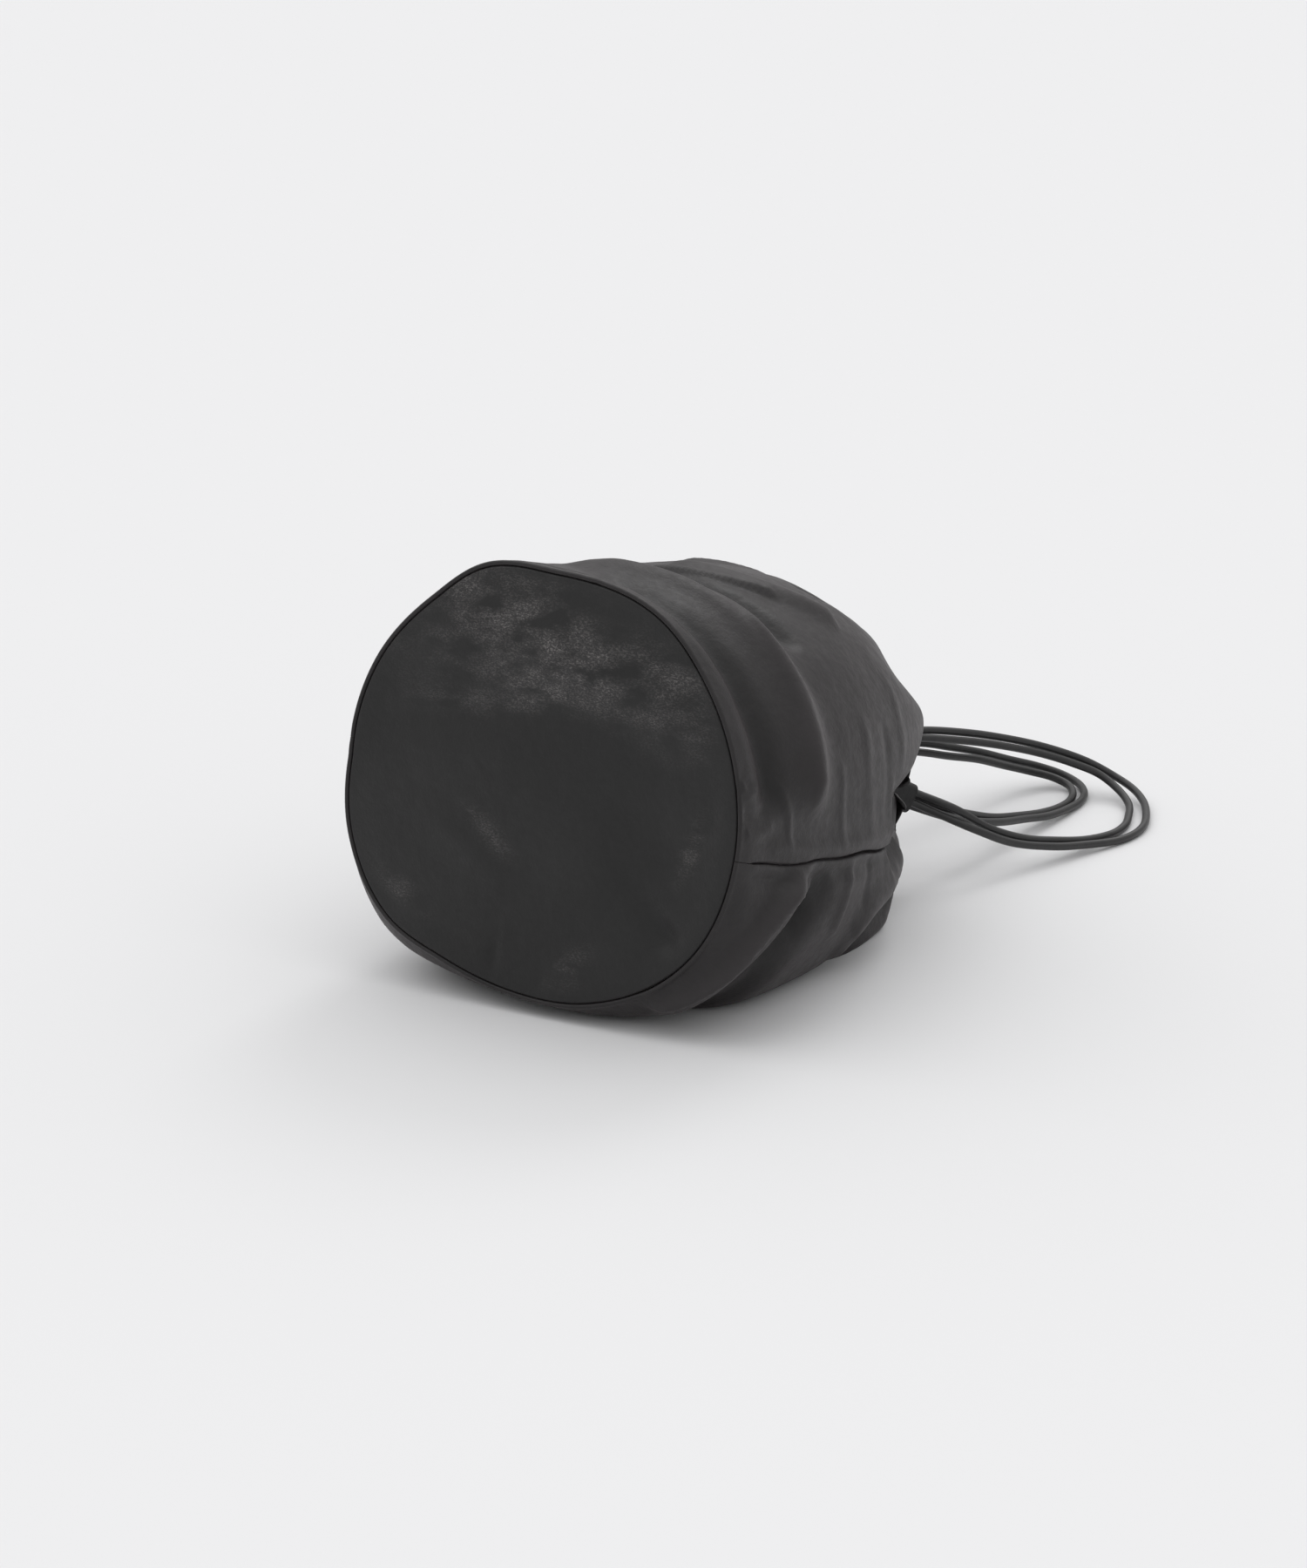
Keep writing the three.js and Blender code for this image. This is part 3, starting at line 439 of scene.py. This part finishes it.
# Turns two grids, an outer and an inner skin, into one closed mesh.
def shell_faces(rows, columns, closed_round):
    top = rows - 1
    side = columns - 1
    across = np.arange(columns if closed_round else side)
    i, j = np.meshgrid(np.arange(top), across, indexing="ij")

    def at(skin, row, column):
        return skin * rows * columns + row * columns + column % columns

    def quads(*corners):
        return np.stack(corners, axis=-1).reshape(-1, 4)

    found = [
        quads(at(0, i, j), at(0, i + 1, j), at(0, i + 1, j + 1), at(0, i, j + 1)),
        quads(at(1, i, j), at(1, i, j + 1), at(1, i + 1, j + 1), at(1, i + 1, j)),
        quads(at(0, 0, across), at(0, 0, across + 1), at(1, 0, across + 1), at(1, 0, across)),
        quads(at(0, top, across), at(1, top, across), at(1, top, across + 1), at(0, top, across + 1)),
    ]
    if not closed_round:
        i = np.arange(top)
        found.append(quads(at(0, i, 0), at(1, i, 0), at(1, i + 1, 0), at(0, i + 1, 0)))
        found.append(quads(at(0, i, side), at(0, i + 1, side), at(1, i + 1, side), at(1, i, side)))
    return np.concatenate(found)


# The outward direction at each point of a grid, from its neighbours.
def grid_normals(grid, closed_round):
    if closed_round:
        across = np.roll(grid, -1, axis=1) - np.roll(grid, 1, axis=1)
    else:
        across = np.gradient(grid, axis=1)
    return unit(np.cross(np.gradient(grid, axis=0), across))


def mesh_object(name, points, faces, material, attributes=None):
    mesh = bpy.data.meshes.new(name)
    mesh.from_pydata(points.reshape(-1, 3).tolist(), [], [list(face) for face in faces])
    mesh.materials.append(material)
    mesh.polygons.foreach_set("use_smooth", [True] * len(mesh.polygons))
    for key, values in (attributes or {}).items():
        layer = mesh.attributes.new(key, "FLOAT", "POINT")
        layer.data.foreach_set("value", np.asarray(values, float).ravel())
    mesh.update()
    piece = bpy.data.objects.new(name, mesh)
    bpy.context.collection.objects.link(piece)
    return piece


# How far the points of a turned-in edge lie from the seam line, and how far below the skin.
def seam_edge(turn, allowance):
    bends = np.radians(np.arange(90, -1, -18))
    out = SIDE_ROLL * (1 - np.sin(bends))
    under = SIDE_ROLL * (1 - np.cos(bends))
    out = np.concatenate([[0, 0], out])
    under = np.concatenate([[SIDE_ROLL + allowance, SIDE_ROLL + allowance / 2], under])
    flat = np.linspace(0, 1, len(out)) * SIDE_ROLL
    return blend(flat, out, turn), under * turn


# The points of one panel's rows: where each lies on the leather, and how far below its skin.
def panel_places(first_seam, second_seam):
    walks = np.linspace(0, 1, PANEL_ROWS + 1)
    section = table_at(SECTIONS, "walk", walks)
    first = np.radians(section[first_seam])
    second = np.radians(section[second_seam] + (360 if first_seam == "left" else 0))
    step = 0.01

    def speed(angle):
        ends = plain_skin(walks, angle + step) - plain_skin(walks, angle - step)
        return np.linalg.norm(ends, axis=-1) / (2 * step)

    speeds = speed(first), speed(second)
    # the seam gapes a little and wanders where the leather is gathered, up to where its slit begins
    near_mouth = 1 - ease((walks - ALLOWANCE_END) / ALLOWANCE_FADE)
    gape = SEAM_GAPE * ease((walks - 0.12) / 0.3) * near_mouth
    wander = SEAM_WANDER * np.sin(walks * 31) * np.sin(walks * 12) / BASE_RADIUS
    first, second = first + wander, second + wander
    open_width = SLIT_WIDTH * ease((walks - (1 - SLIT_SHARE)) / (SLIT_SHARE / 2))
    half = (CLEARANCE + gape + open_width) / 2
    turn = ease((walks - 0.03) / 0.06)
    rows = []
    for k, walk in enumerate(walks):
        out, under = seam_edge(turn[k], SEAM_ALLOWANCE * near_mouth[k])
        start = first[k] + (half[k] + out) / speeds[0][k]
        end = second[k] - (half[k] + out) / speeds[1][k]
        middle = np.linspace(0, 1, PANEL_COLUMNS + 1)[1:-1]
        angle = np.concatenate([start, blend(start[-1], end[-1], middle), end[::-1]])
        across = np.concatenate([np.zeros(len(out)), middle, np.ones(len(out))])
        below = np.concatenate([under, np.zeros(len(middle)), under[::-1]])
        rows.append((np.full(len(angle), walk), angle, across, below))
    return [np.array(column) for column in zip(*rows)]


# A wall panel between two side seams, turned in at the base seam.
def wall_panel(name, first_seam, second_seam, material):
    walk, angle, across, below = panel_places(first_seam, second_seam)
    skin, crest = folded_skin(walk, angle, across)
    smooth = outward(walk, angle)
    skin = skin - smooth * below[..., None]
    away = from_base_middle(skin[0])
    edge = []
    for alpha, allowance in [(180, 1), (180, 0.5)] + [(alpha, 0) for alpha in range(180, 0, -20)]:
        radial = BASE_ROLL * (math.cos(math.radians(alpha)) - 1)
        axial = SEAM_ALLOWANCE * allowance - BASE_ROLL * math.sin(math.radians(alpha))
        edge.append(skin[0] + away * radial + BASE_INWARDS * axial)
    outer = np.concatenate([np.array(edge), skin])
    normals = grid_normals(outer, False)
    folded = ease((walk[:, 0] - (1 - CHANNEL_SHARE)) / CHANNEL_TURN)
    channel = np.concatenate([np.zeros(len(edge)), folded])
    plain = np.concatenate([normals[: len(edge)], smooth])
    inwards = unit(blend(normals, plain, channel[:, None, None]))
    full = blend(EDGE_WALL, WALL, ease(walk[:, 0] / PARED_SHARE))
    wall = np.concatenate([np.full(len(edge), EDGE_WALL), full])
    inner = outer - inwards * blend(wall, CHANNEL_THICKNESS, channel)[:, None, None]
    # the fold heights, kept to paint light on the crests and shade in the hollows
    wear_and_light = np.concatenate([np.zeros((len(edge), skin.shape[1])), crest / BASE_RADIUS])
    faces = shell_faces(outer.shape[0], outer.shape[1], False)
    attributes = {"crest": np.concatenate([wear_and_light.ravel(), np.zeros(wear_and_light.size)])}
    points = np.concatenate([outer.reshape(-1, 3), inner.reshape(-1, 3)])
    return mesh_object(name, points, faces, material, attributes)


# How strongly a table of spots reaches each place on the base's face.
def spots_at(spots, across, up, key):
    total = np.zeros(across.shape)
    for spot in spots:
        turn = math.radians(spot["turn"])
        x, y = across - spot["middle"][0], up - spot["middle"][1]
        along = (x * math.cos(turn) + y * math.sin(turn)) / spot["spread"][0]
        aside = (y * math.cos(turn) - x * math.sin(turn)) / spot["spread"][1]
        total = total + spot[key] * np.exp(-(along**2) - aside**2)
    return total


# The base: a soft disc whose rim turns in behind its seam.
def base_disc(material):
    start = 3 * BASE_ROLL + CLEARANCE
    shares = np.linspace(0.01, 1, BASE_RINGS)
    inset = [start] * len(shares)
    behind = [0] * len(shares)
    for alpha in (15, 30, 45, 60, 75, 90):
        inset.append(start - BASE_ROLL * math.sin(math.radians(alpha)))
        behind.append(BASE_ROLL * (1 - math.cos(math.radians(alpha))))
    for share in (0.5, 1):
        inset.append(start - BASE_ROLL)
        behind.append(BASE_ROLL + SEAM_ALLOWANCE * share)
    angle = np.arange(BASE_SPOKES) / BASE_SPOKES * 2 * math.pi
    rim = plain_skin(np.zeros(BASE_SPOKES), angle)
    reach = np.linalg.norm(rim - BASE_MIDDLE, axis=-1)[None] - np.array(inset)[:, None]
    reach[: len(shares)] *= shares[:, None]
    grid = (
        BASE_MIDDLE
        + from_base_middle(rim)[None] * reach[..., None]
        + BASE_INWARDS * (np.array(behind) - BASE_ROLL)[:, None, None]
    )
    across = (grid - BASE_MIDDLE)[..., 0] / BASE_RADIUS
    up = ((grid - BASE_MIDDLE) @ BASE_UP) / BASE_RADIUS
    free = [1 - ease((share - DENTED_SHARE) / (1 - DENTED_SHARE)) for share in shares]
    on_face = np.array(free + [0] * (len(inset) - len(shares)))
    dents = BASE_RADIUS * spots_at(BASE_DENTS, across, up, "rise")
    soft = uneven(grid, BASE_UNEVEN)
    grid = grid - BASE_INWARDS * ((dents + soft) * on_face[:, None])[..., None]
    normals = grid_normals(grid, True)
    wall = np.where(on_face > 0, WALL, EDGE_WALL)
    inner = grid - normals * wall[:, None, None]
    rows, columns = grid.shape[:2]
    points = np.concatenate([grid.reshape(-1, 3), inner.reshape(-1, 3), [grid[0].mean(0), inner[0].mean(0)]])
    faces = [list(face) for face in shell_faces(rows, columns, True)]
    count = rows * columns

    # the strip between the innermost rings gives way to two fans round the middle
    def joins_rings(face):
        return face[0] < columns and count <= face[2] < count + columns

    ring = [face for face in faces if not joins_rings(face)]
    for j in range(columns):
        ring.append([2 * count, j, (j + 1) % columns])
        ring.append([2 * count + 1, count + (j + 1) % columns, count + j])
    # the scuffs of the base, with painted sheen and highlights in them
    scuff_and_sheen = np.zeros(len(points))
    scuff_and_sheen[:count] = spots_at(BASE_SCUFFS_AND_SHEEN, across, up, "strength").ravel()
    return mesh_object("base_leather", points, ring, material, {"scuff_and_sheen": scuff_and_sheen})


# The directions of a bundle of cords: along it, away from the mouth, then across, and up.
def bundle_frame(end, along):
    across = unit(np.array([along[1], -along[0], 0]))
    return end, along, across, np.cross(across, along)


# Where the mouth is along the axis, in millimetres; the keepers and the cords lie beyond it.
MOUTH = (BODY_DEPTH * SECTIONS[-1]["depth"] - REST_CENTRE) / MM


def keeper_frame(place):
    turn, fall = math.radians(place["heading"]), math.radians(place["dip"])
    along = np.array([math.sin(turn) * math.cos(fall), math.cos(turn) * math.cos(fall), -math.sin(fall)])
    return bundle_frame(np.array([place["x"], MOUTH + place["beyond"], place["z"]]) * MM, along)


# A point in a bundle, by its distance back from the end, and its place across and up.
def in_bundle(bundle, back, side, rise):
    end, along, across, up = bundle
    return end - along * back + across * side + up * rise


# The middle of a slit, where the cords leave the channels at one side of the mouth.
def slit_middle(seam):
    walk = np.array([1 - CHANNEL_SHARE / 2])
    angle = np.radians(table_at(SECTIONS, "walk", walk)[seam])
    plain = plain_skin(walk, angle)
    radius = BASE_RADIUS * table_at(SECTIONS, "walk", walk)["width"]
    rise = pleat_at(walk, np.zeros(1)) + sum(fold_at(fold, walk, angle, radius) for fold in FOLDS)
    return (plain + outward(walk, angle) * (rise - CHANNEL_THICKNESS / 2)[..., None])[0]


# The points that a cord's middle runs through, from the left slit to the right one.
def cord_points(name):
    def within(place, seam):
        across, up = (share * BUNDLE_PITCH for share in BUNDLES[name][seam])
        bundle = keeper_frame(place)
        slit = slit_middle(seam)
        towards = unit(in_bundle(bundle, KEEPER_LENGTH, 0, 0) - slit)
        return [
            in_bundle(bundle_frame(slit, towards), 0, across * SLIT_SPREAD, up * SLIT_SPREAD),
            in_bundle(bundle, KEEPER_LENGTH + CORD_DIAMETER, across, up),
            in_bundle(bundle, KEEPER_LENGTH, across, up),
            in_bundle(bundle, 0, across, up),
        ]

    route = [np.array([x, MOUTH + beyond, z]) * MM for x, beyond, z in CORD_ROUTES[name]]
    return within(LEFT_KEEPER, "left") + route + within(RIGHT_KEEPER, "right")[::-1]


# A smooth curve through points, with its steps shorter than the given length.
def smooth_path(points, step):
    points = [2 * points[0] - points[1]] + list(points) + [2 * points[-1] - points[-2]]
    path = []
    for p0, p1, p2, p3 in zip(points, points[1:], points[2:], points[3:]):
        t0 = 0
        t1 = t0 + np.linalg.norm(p1 - p0) ** 0.5
        t2 = t1 + np.linalg.norm(p2 - p1) ** 0.5
        t3 = t2 + np.linalg.norm(p3 - p2) ** 0.5
        count = max(2, math.ceil(np.linalg.norm(p2 - p1) / step))
        for t in np.linspace(t1, t2, count, endpoint=False):
            a1 = p0 * (t1 - t) / (t1 - t0) + p1 * (t - t0) / (t1 - t0)
            a2 = p1 * (t2 - t) / (t2 - t1) + p2 * (t - t1) / (t2 - t1)
            a3 = p2 * (t3 - t) / (t3 - t2) + p3 * (t - t2) / (t3 - t2)
            b1 = a1 * (t2 - t) / (t2 - t0) + a2 * (t - t0) / (t2 - t0)
            b2 = a2 * (t3 - t) / (t3 - t1) + a3 * (t - t1) / (t3 - t1)
            path.append(b1 * (t2 - t) / (t2 - t1) + b2 * (t - t1) / (t2 - t1))
    return np.array(path + [points[-2]])


# A cord: a round leather lace, a little uneven in thickness along its run.
def cord(name, material):
    path = smooth_path(cord_points(name), 2 * MM)
    sides = 16
    tangent = unit(np.gradient(path, axis=0))
    side = unit(np.cross(tangent[0], [0, 0, 1]))
    rings = []
    lengths = np.concatenate([[0], np.cumsum(np.linalg.norm(np.diff(path, axis=0), axis=1))])
    for k, (point, along) in enumerate(zip(path, tangent)):
        side = unit(side - along * (side @ along))
        up = np.cross(side, along)
        turn = np.arange(sides) / sides * 2 * math.pi
        thick = CORD_DIAMETER / 2 * (0.985 + 0.015 * math.sin(lengths[k] / (11 * MM)))
        rings.append(point + thick * (np.cos(turn)[:, None] * side + np.sin(turn)[:, None] * up))
    points = np.concatenate([np.array(rings).reshape(-1, 3), [path[0], path[-1]]])
    count = len(path)
    faces = []
    for j in range(sides):
        k = (j + 1) % sides
        faces.append([count * sides, k, j])
        faces.append([count * sides + 1, (count - 1) * sides + j, (count - 1) * sides + k])
        for i in range(count - 1):
            faces.append([i * sides + j, i * sides + k, (i + 1) * sides + k, (i + 1) * sides + j])
    piece = mesh_object("lace_" + name, points, faces, material)
    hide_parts(name)
    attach(piece, "root")
    return piece


# The corner arcs of a rounded rectangle, anticlockwise from the lower right, seen from its front.
def rounded_corners(width, height, radius):
    points = []
    for x, y, begin in [(1, -1, -90), (1, 1, 0), (-1, 1, 90), (-1, -1, 180)]:
        for turn in (0, 15, 30, 45, 60, 75, 90):
            angle = math.radians(begin + turn)
            points.append(
                (x * (width / 2 - radius) + radius * math.cos(angle),
                 y * (height / 2 - radius) + radius * math.sin(angle))
            )
    return points


# A keeper: a strip of leather round all the cords, its two ends joined in a tab below them.
def keeper(name, node, place, seam, material):
    bundle = keeper_frame(place)
    places = np.array([spots[seam] for spots in BUNDLES.values()]) * BUNDLE_PITCH
    low, high = places.min(axis=0), places.max(axis=0)
    width, height = high - low + CORD_DIAMETER + 2 * CLEARANCE
    middle = (high[1] + low[1]) / 2
    bottom = -height / 2 - KEEPER_WALL
    inner_radius = 2 * MM
    inner = (
        [(share * KEEPER_WALL, -height / 2) for share in (0.2, 0.4, 0.6, 0.9)]
        + rounded_corners(width, height, inner_radius)
        + [(-share * KEEPER_WALL, -height / 2) for share in (0.9, 0.6, 0.4, 0.2)]
    )
    loop = rounded_corners(width + 2 * KEEPER_WALL, height + 2 * KEEPER_WALL, inner_radius + KEEPER_WALL)
    corner = KEEPER_TAB_CORNER
    turns = np.radians([0, 15, 30, 45, 60, 75, 90])
    near = np.concatenate([[0], corner * (1 - np.cos(turns))[1:]])
    backs = np.concatenate([near, [KEEPER_LENGTH / 2], (KEEPER_LENGTH - near)[::-1]])
    outer_rows, inner_rows = [], []
    for back in backs:
        short = max(0, corner - min(back, KEEPER_LENGTH - back))
        tab = bottom - (KEEPER_TAB - (corner - math.sqrt(corner**2 - short**2)))
        half = blend(tab, bottom, 0.5)
        outer = (
            [(0.3 * KEEPER_WALL, tab), (KEEPER_WALL, tab), (KEEPER_WALL, half), (KEEPER_WALL, bottom)]
            + loop
            + [(-KEEPER_WALL, bottom), (-KEEPER_WALL, half), (-KEEPER_WALL, tab), (-0.3 * KEEPER_WALL, tab)]
        )
        outer_rows.append([in_bundle(bundle, back, side, middle + rise) for side, rise in outer])
        inner_rows.append([in_bundle(bundle, back, side, middle + rise) for side, rise in inner])
    outer, inner = np.array(outer_rows)[::-1], np.array(inner_rows)[::-1]
    faces = shell_faces(outer.shape[0], outer.shape[1], True)
    piece = mesh_object(name, np.concatenate([outer.reshape(-1, 3), inner.reshape(-1, 3)]), faces, material)
    bevel = piece.modifiers.new("worn edges", "BEVEL")
    bevel.width = 0.35 * MM
    bevel.segments = 2
    bevel.limit_method = "ANGLE"
    bevel.angle_limit = math.radians(50)
    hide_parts(node)
    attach(piece, "root")
    return piece


def linear(hex_colour):
    channels = [int(hex_colour[i : i + 2], 16) / 255 for i in (1, 3, 5)]
    return [c / 12.92 if c <= 0.04045 else ((c + 0.055) / 1.055) ** 2.4 for c in channels] + [1]


# Adds one node with its settings, and links or values for its inputs.
def add_node(tree, kind, inputs=None, **settings):
    node = tree.nodes.new(kind)
    for name, value in settings.items():
        setattr(node, name, value)
    for name, value in (inputs or {}).items():
        if isinstance(value, bpy.types.NodeSocket):
            tree.links.new(value, node.inputs[name])
        else:
            node.inputs[name].default_value = value
    return node


# The scuffed patches of the base: a pale haze that is partly rubbed grain and partly painted sheen, with
# pale specks that are partly worn grain and partly painted highlights.
def scuff_and_sheen_colour(tree, place, colour):
    scuff_and_sheen = add_node(tree, "ShaderNodeAttribute", attribute_name="scuff_and_sheen").outputs["Fac"]
    # the patches are broken up by creases about 1.2 mm apart, longer across than up
    level = add_node(
        tree, "ShaderNodeMapping", {"Vector": place, "Scale": (1.0, 1.0, 2.1)}
    ).outputs["Vector"]
    cloud = add_node(tree, "ShaderNodeTexNoise", {"Vector": level, "Scale": 55.0, "Detail": 6.0})
    patch = add_node(
        tree, "ShaderNodeMapRange", {"Value": cloud.outputs["Fac"], "From Min": 0.38, "From Max": 0.66}
    )
    crease = add_node(
        tree,
        "ShaderNodeTexNoise",
        {"Vector": level, "Scale": 800.0, "Detail": 8.0, "Roughness": 0.8, "Distortion": 0.2},
    )
    speck_mask = add_node(
        tree, "ShaderNodeMapRange", {"Value": crease.outputs["Fac"], "From Min": 0.49, "From Max": 0.6}
    )
    strength = add_node(
        tree, "ShaderNodeMath", {0: scuff_and_sheen, 1: patch.outputs["Result"]}, operation="MULTIPLY"
    )
    # the pale specks: worn grain and painted highlights
    wear_and_light = add_node(
        tree,
        "ShaderNodeMath",
        {0: strength.outputs["Value"], 1: speck_mask.outputs["Result"]},
        operation="MULTIPLY",
        use_clamp=True,
    )
    # painted sheen: a pale haze over the scuffed patches, partly rubbed grain
    haze_and_sheen = add_node(
        tree,
        "ShaderNodeMix",
        {"Factor": strength.outputs["Value"], "A": colour, "B": linear("#353434")},
        data_type="RGBA",
    )
    return add_node(
        tree,
        "ShaderNodeMix",
        {"Factor": wear_and_light.outputs["Value"], "A": haze_and_sheen.outputs[2], "B": linear("#7c7877")},
        data_type="RGBA",
    ).outputs[2]


# Milled lambskin, drum dyed black: soft satin, with a fine grain, a random mottle, and painted light and
# shade: warm and lighter on the crests of the folds, darker in their hollows.
def milled_lambskin(name, dark, light, scuffs_and_sheen=False):
    material = bpy.data.materials.new(name)
    material.use_nodes = True
    tree = material.node_tree
    shader = tree.nodes["Principled BSDF"]
    place = add_node(tree, "ShaderNodeTexCoord").outputs["Object"]
    cloud = add_node(tree, "ShaderNodeTexNoise", {"Vector": place, "Scale": 22.0, "Detail": 4.0})
    mottle = add_node(
        tree,
        "ShaderNodeMapRange",
        {"Value": cloud.outputs["Fac"], "From Min": 0.3, "From Max": 0.7, "To Min": -0.25, "To Max": 0.25},
    )
    # painted light and shade: the crests of the folds are painted lighter and the hollows darker
    crest = add_node(tree, "ShaderNodeAttribute", attribute_name="crest").outputs["Fac"]
    raised = add_node(
        tree, "ShaderNodeMapRange", {"Value": crest, "From Min": -0.07, "From Max": 0.07}
    )
    crest_shade_and_mottle = add_node(
        tree,
        "ShaderNodeMath",
        {0: raised.outputs["Result"], 1: mottle.outputs["Result"]},
        operation="ADD",
        use_clamp=True,
    )
    tone = add_node(
        tree,
        "ShaderNodeMix",
        {"Factor": crest_shade_and_mottle.outputs["Value"], "A": linear(dark), "B": linear(light)},
        data_type="RGBA",
    )
    # grain about 1.1 mm across, drawn a little coarser than real so that it shows
    grain = add_node(tree, "ShaderNodeTexVoronoi", {"Vector": place, "Scale": 900.0})
    wrinkle = add_node(tree, "ShaderNodeTexNoise", {"Vector": place, "Scale": 260.0, "Detail": 5.0})
    colour = tone.outputs[2]
    rough = add_node(
        tree,
        "ShaderNodeMapRange",
        {"Value": wrinkle.outputs["Fac"], "From Min": 0.3, "From Max": 0.7, "To Min": 0.46, "To Max": 0.56},
    ).outputs["Result"]
    if scuffs_and_sheen:
        colour = scuff_and_sheen_colour(tree, place, colour)
    tree.links.new(colour, shader.inputs["Base Color"])
    tree.links.new(rough, shader.inputs["Roughness"])
    soft = add_node(
        tree,
        "ShaderNodeBump",
        {"Height": wrinkle.outputs["Fac"], "Strength": 0.35, "Distance": 0.8 * MM},
    )
    fine = add_node(
        tree,
        "ShaderNodeBump",
        {
            "Height": grain.outputs["Distance"],
            "Normal": soft.outputs["Normal"],
            "Strength": 0.2,
            "Distance": 0.25 * MM,
        },
    )
    tree.links.new(fine.outputs["Normal"], shader.inputs["Normal"])
    shader.inputs["IOR"].default_value = 1.46
    shader.inputs["Specular IOR Level"].default_value = 0.42
    shader.inputs["Sheen Weight"].default_value = 0.06
    shader.inputs["Sheen Roughness"].default_value = 0.5
    shader.inputs["Sheen Tint"].default_value = linear("#f2e4e8")
    return material


# Waxed leather lace, black and smooth: the wax gives it a narrow bright line along its top.
def waxed_lace():
    material = bpy.data.materials.new("waxed_lace")
    material.use_nodes = True
    tree = material.node_tree
    shader = tree.nodes["Principled BSDF"]
    place = add_node(tree, "ShaderNodeTexCoord").outputs["Object"]
    wrinkle = add_node(tree, "ShaderNodeTexNoise", {"Vector": place, "Scale": 350.0, "Detail": 4.0})
    tone = add_node(
        tree,
        "ShaderNodeMix",
        {"Factor": wrinkle.outputs["Fac"], "A": linear("#1d1d1e"), "B": linear("#2c2b2b")},
        data_type="RGBA",
    )
    tree.links.new(tone.outputs[2], shader.inputs["Base Color"])
    bump = add_node(
        tree, "ShaderNodeBump", {"Height": wrinkle.outputs["Fac"], "Strength": 0.25, "Distance": 0.4 * MM}
    )
    tree.links.new(bump.outputs["Normal"], shader.inputs["Normal"])
    shader.inputs["Roughness"].default_value = 0.42
    return material


# The camera stands where the photograph was taken from.
def make_camera():
    camera = bpy.data.cameras.new("camera")
    camera.lens = 104.76
    camera.sensor_width = 36
    view = bpy.data.objects.new("camera", camera)
    view.location = (0.9971, -1.6955, 0.7229)
    towards = Vector((-0.4770, 0.8228, -0.3090))
    view.rotation_euler = towards.to_track_quat("-Z", "Y").to_euler()
    bpy.context.collection.objects.link(view)
    bpy.context.scene.camera = view


# A pale sheet of paper, and soft light from above and behind, to the left.
def make_studio():
    bpy.ops.object.select_all(action="DESELECT")
    bpy.ops.mesh.primitive_plane_add(size=30, location=(0, 0, 0))
    floor = bpy.context.object
    floor.name = "floor"
    paper = bpy.data.materials.new("matt_paper")
    paper.use_nodes = True
    shader = paper.node_tree.nodes["Principled BSDF"]
    shader.inputs["Base Color"].default_value = linear("#e4e4e5")
    shader.inputs["Roughness"].default_value = 0.9
    shader.inputs["Specular IOR Level"].default_value = 0.1
    floor.data.materials.append(paper)
    world = bpy.context.scene.world or bpy.data.worlds.new("studio")
    bpy.context.scene.world = world
    world.use_nodes = True
    tree = world.node_tree
    backdrop = tree.nodes["Background"]
    backdrop.inputs["Color"].default_value = (1, 1, 1, 1)
    direction = add_node(tree, "ShaderNodeTexCoord").outputs["Generated"]
    height = add_node(tree, "ShaderNodeSeparateXYZ", {"Vector": direction}).outputs["Z"]
    glow = add_node(
        tree, "ShaderNodeMapRange", {"Value": height, "From Max": 0.9, "To Min": 0.34, "To Max": 1.12}
    )
    tree.links.new(glow.outputs["Result"], backdrop.inputs["Strength"])
    # a lamp from behind, then a soft one from the left
    for name, energy, spread, towards in [
        ("back_lamp", 0.36, 22, (0.12, -1.0, -1)),
        ("left_softbox", 0.5, 70, (0.8, -0.15, -1)),
    ]:
        sun = bpy.data.lights.new(name, "SUN")
        sun.energy = energy
        sun.angle = math.radians(spread)
        lamp = bpy.data.objects.new(name, sun)
        lamp.rotation_euler = Vector(towards).to_track_quat("-Z", "Y").to_euler()
        bpy.context.collection.objects.link(lamp)
    bpy.context.scene.view_settings.view_transform = "Standard"


make_camera()
lace = waxed_lace()
for cord_name in CORD_ROUTES:
    cord(cord_name, lace)

body_leather = milled_lambskin("milled_lambskin", "#0e0d0d", "#2c292a")
# the base's leather: scuffs, with painted sheen and highlights in its pale patches
scuffed_sheen_leather = milled_lambskin("scuffed_lambskin_with_painted_sheen", "#141414", "#222222", scuffs_and_sheen=True)
for panel_name, seams in {"upper_panel": ("right", "left"), "lower_panel": ("left", "right")}.items():
    wall = wall_panel(panel_name + "_leather", *seams, body_leather)
    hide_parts(panel_name)
    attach(wall, "root")
disc = base_disc(scuffed_sheen_leather)
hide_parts("base_disc")
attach(disc, "root")
pared_leather = milled_lambskin("pared_lambskin_strip", "#0f0f10", "#161616")
keeper("right_keeper_strip", "right_keeper", RIGHT_KEEPER, "right", pared_leather)
keeper("left_keeper_strip", "left_keeper", LEFT_KEEPER, "left", pared_leather)
make_studio()
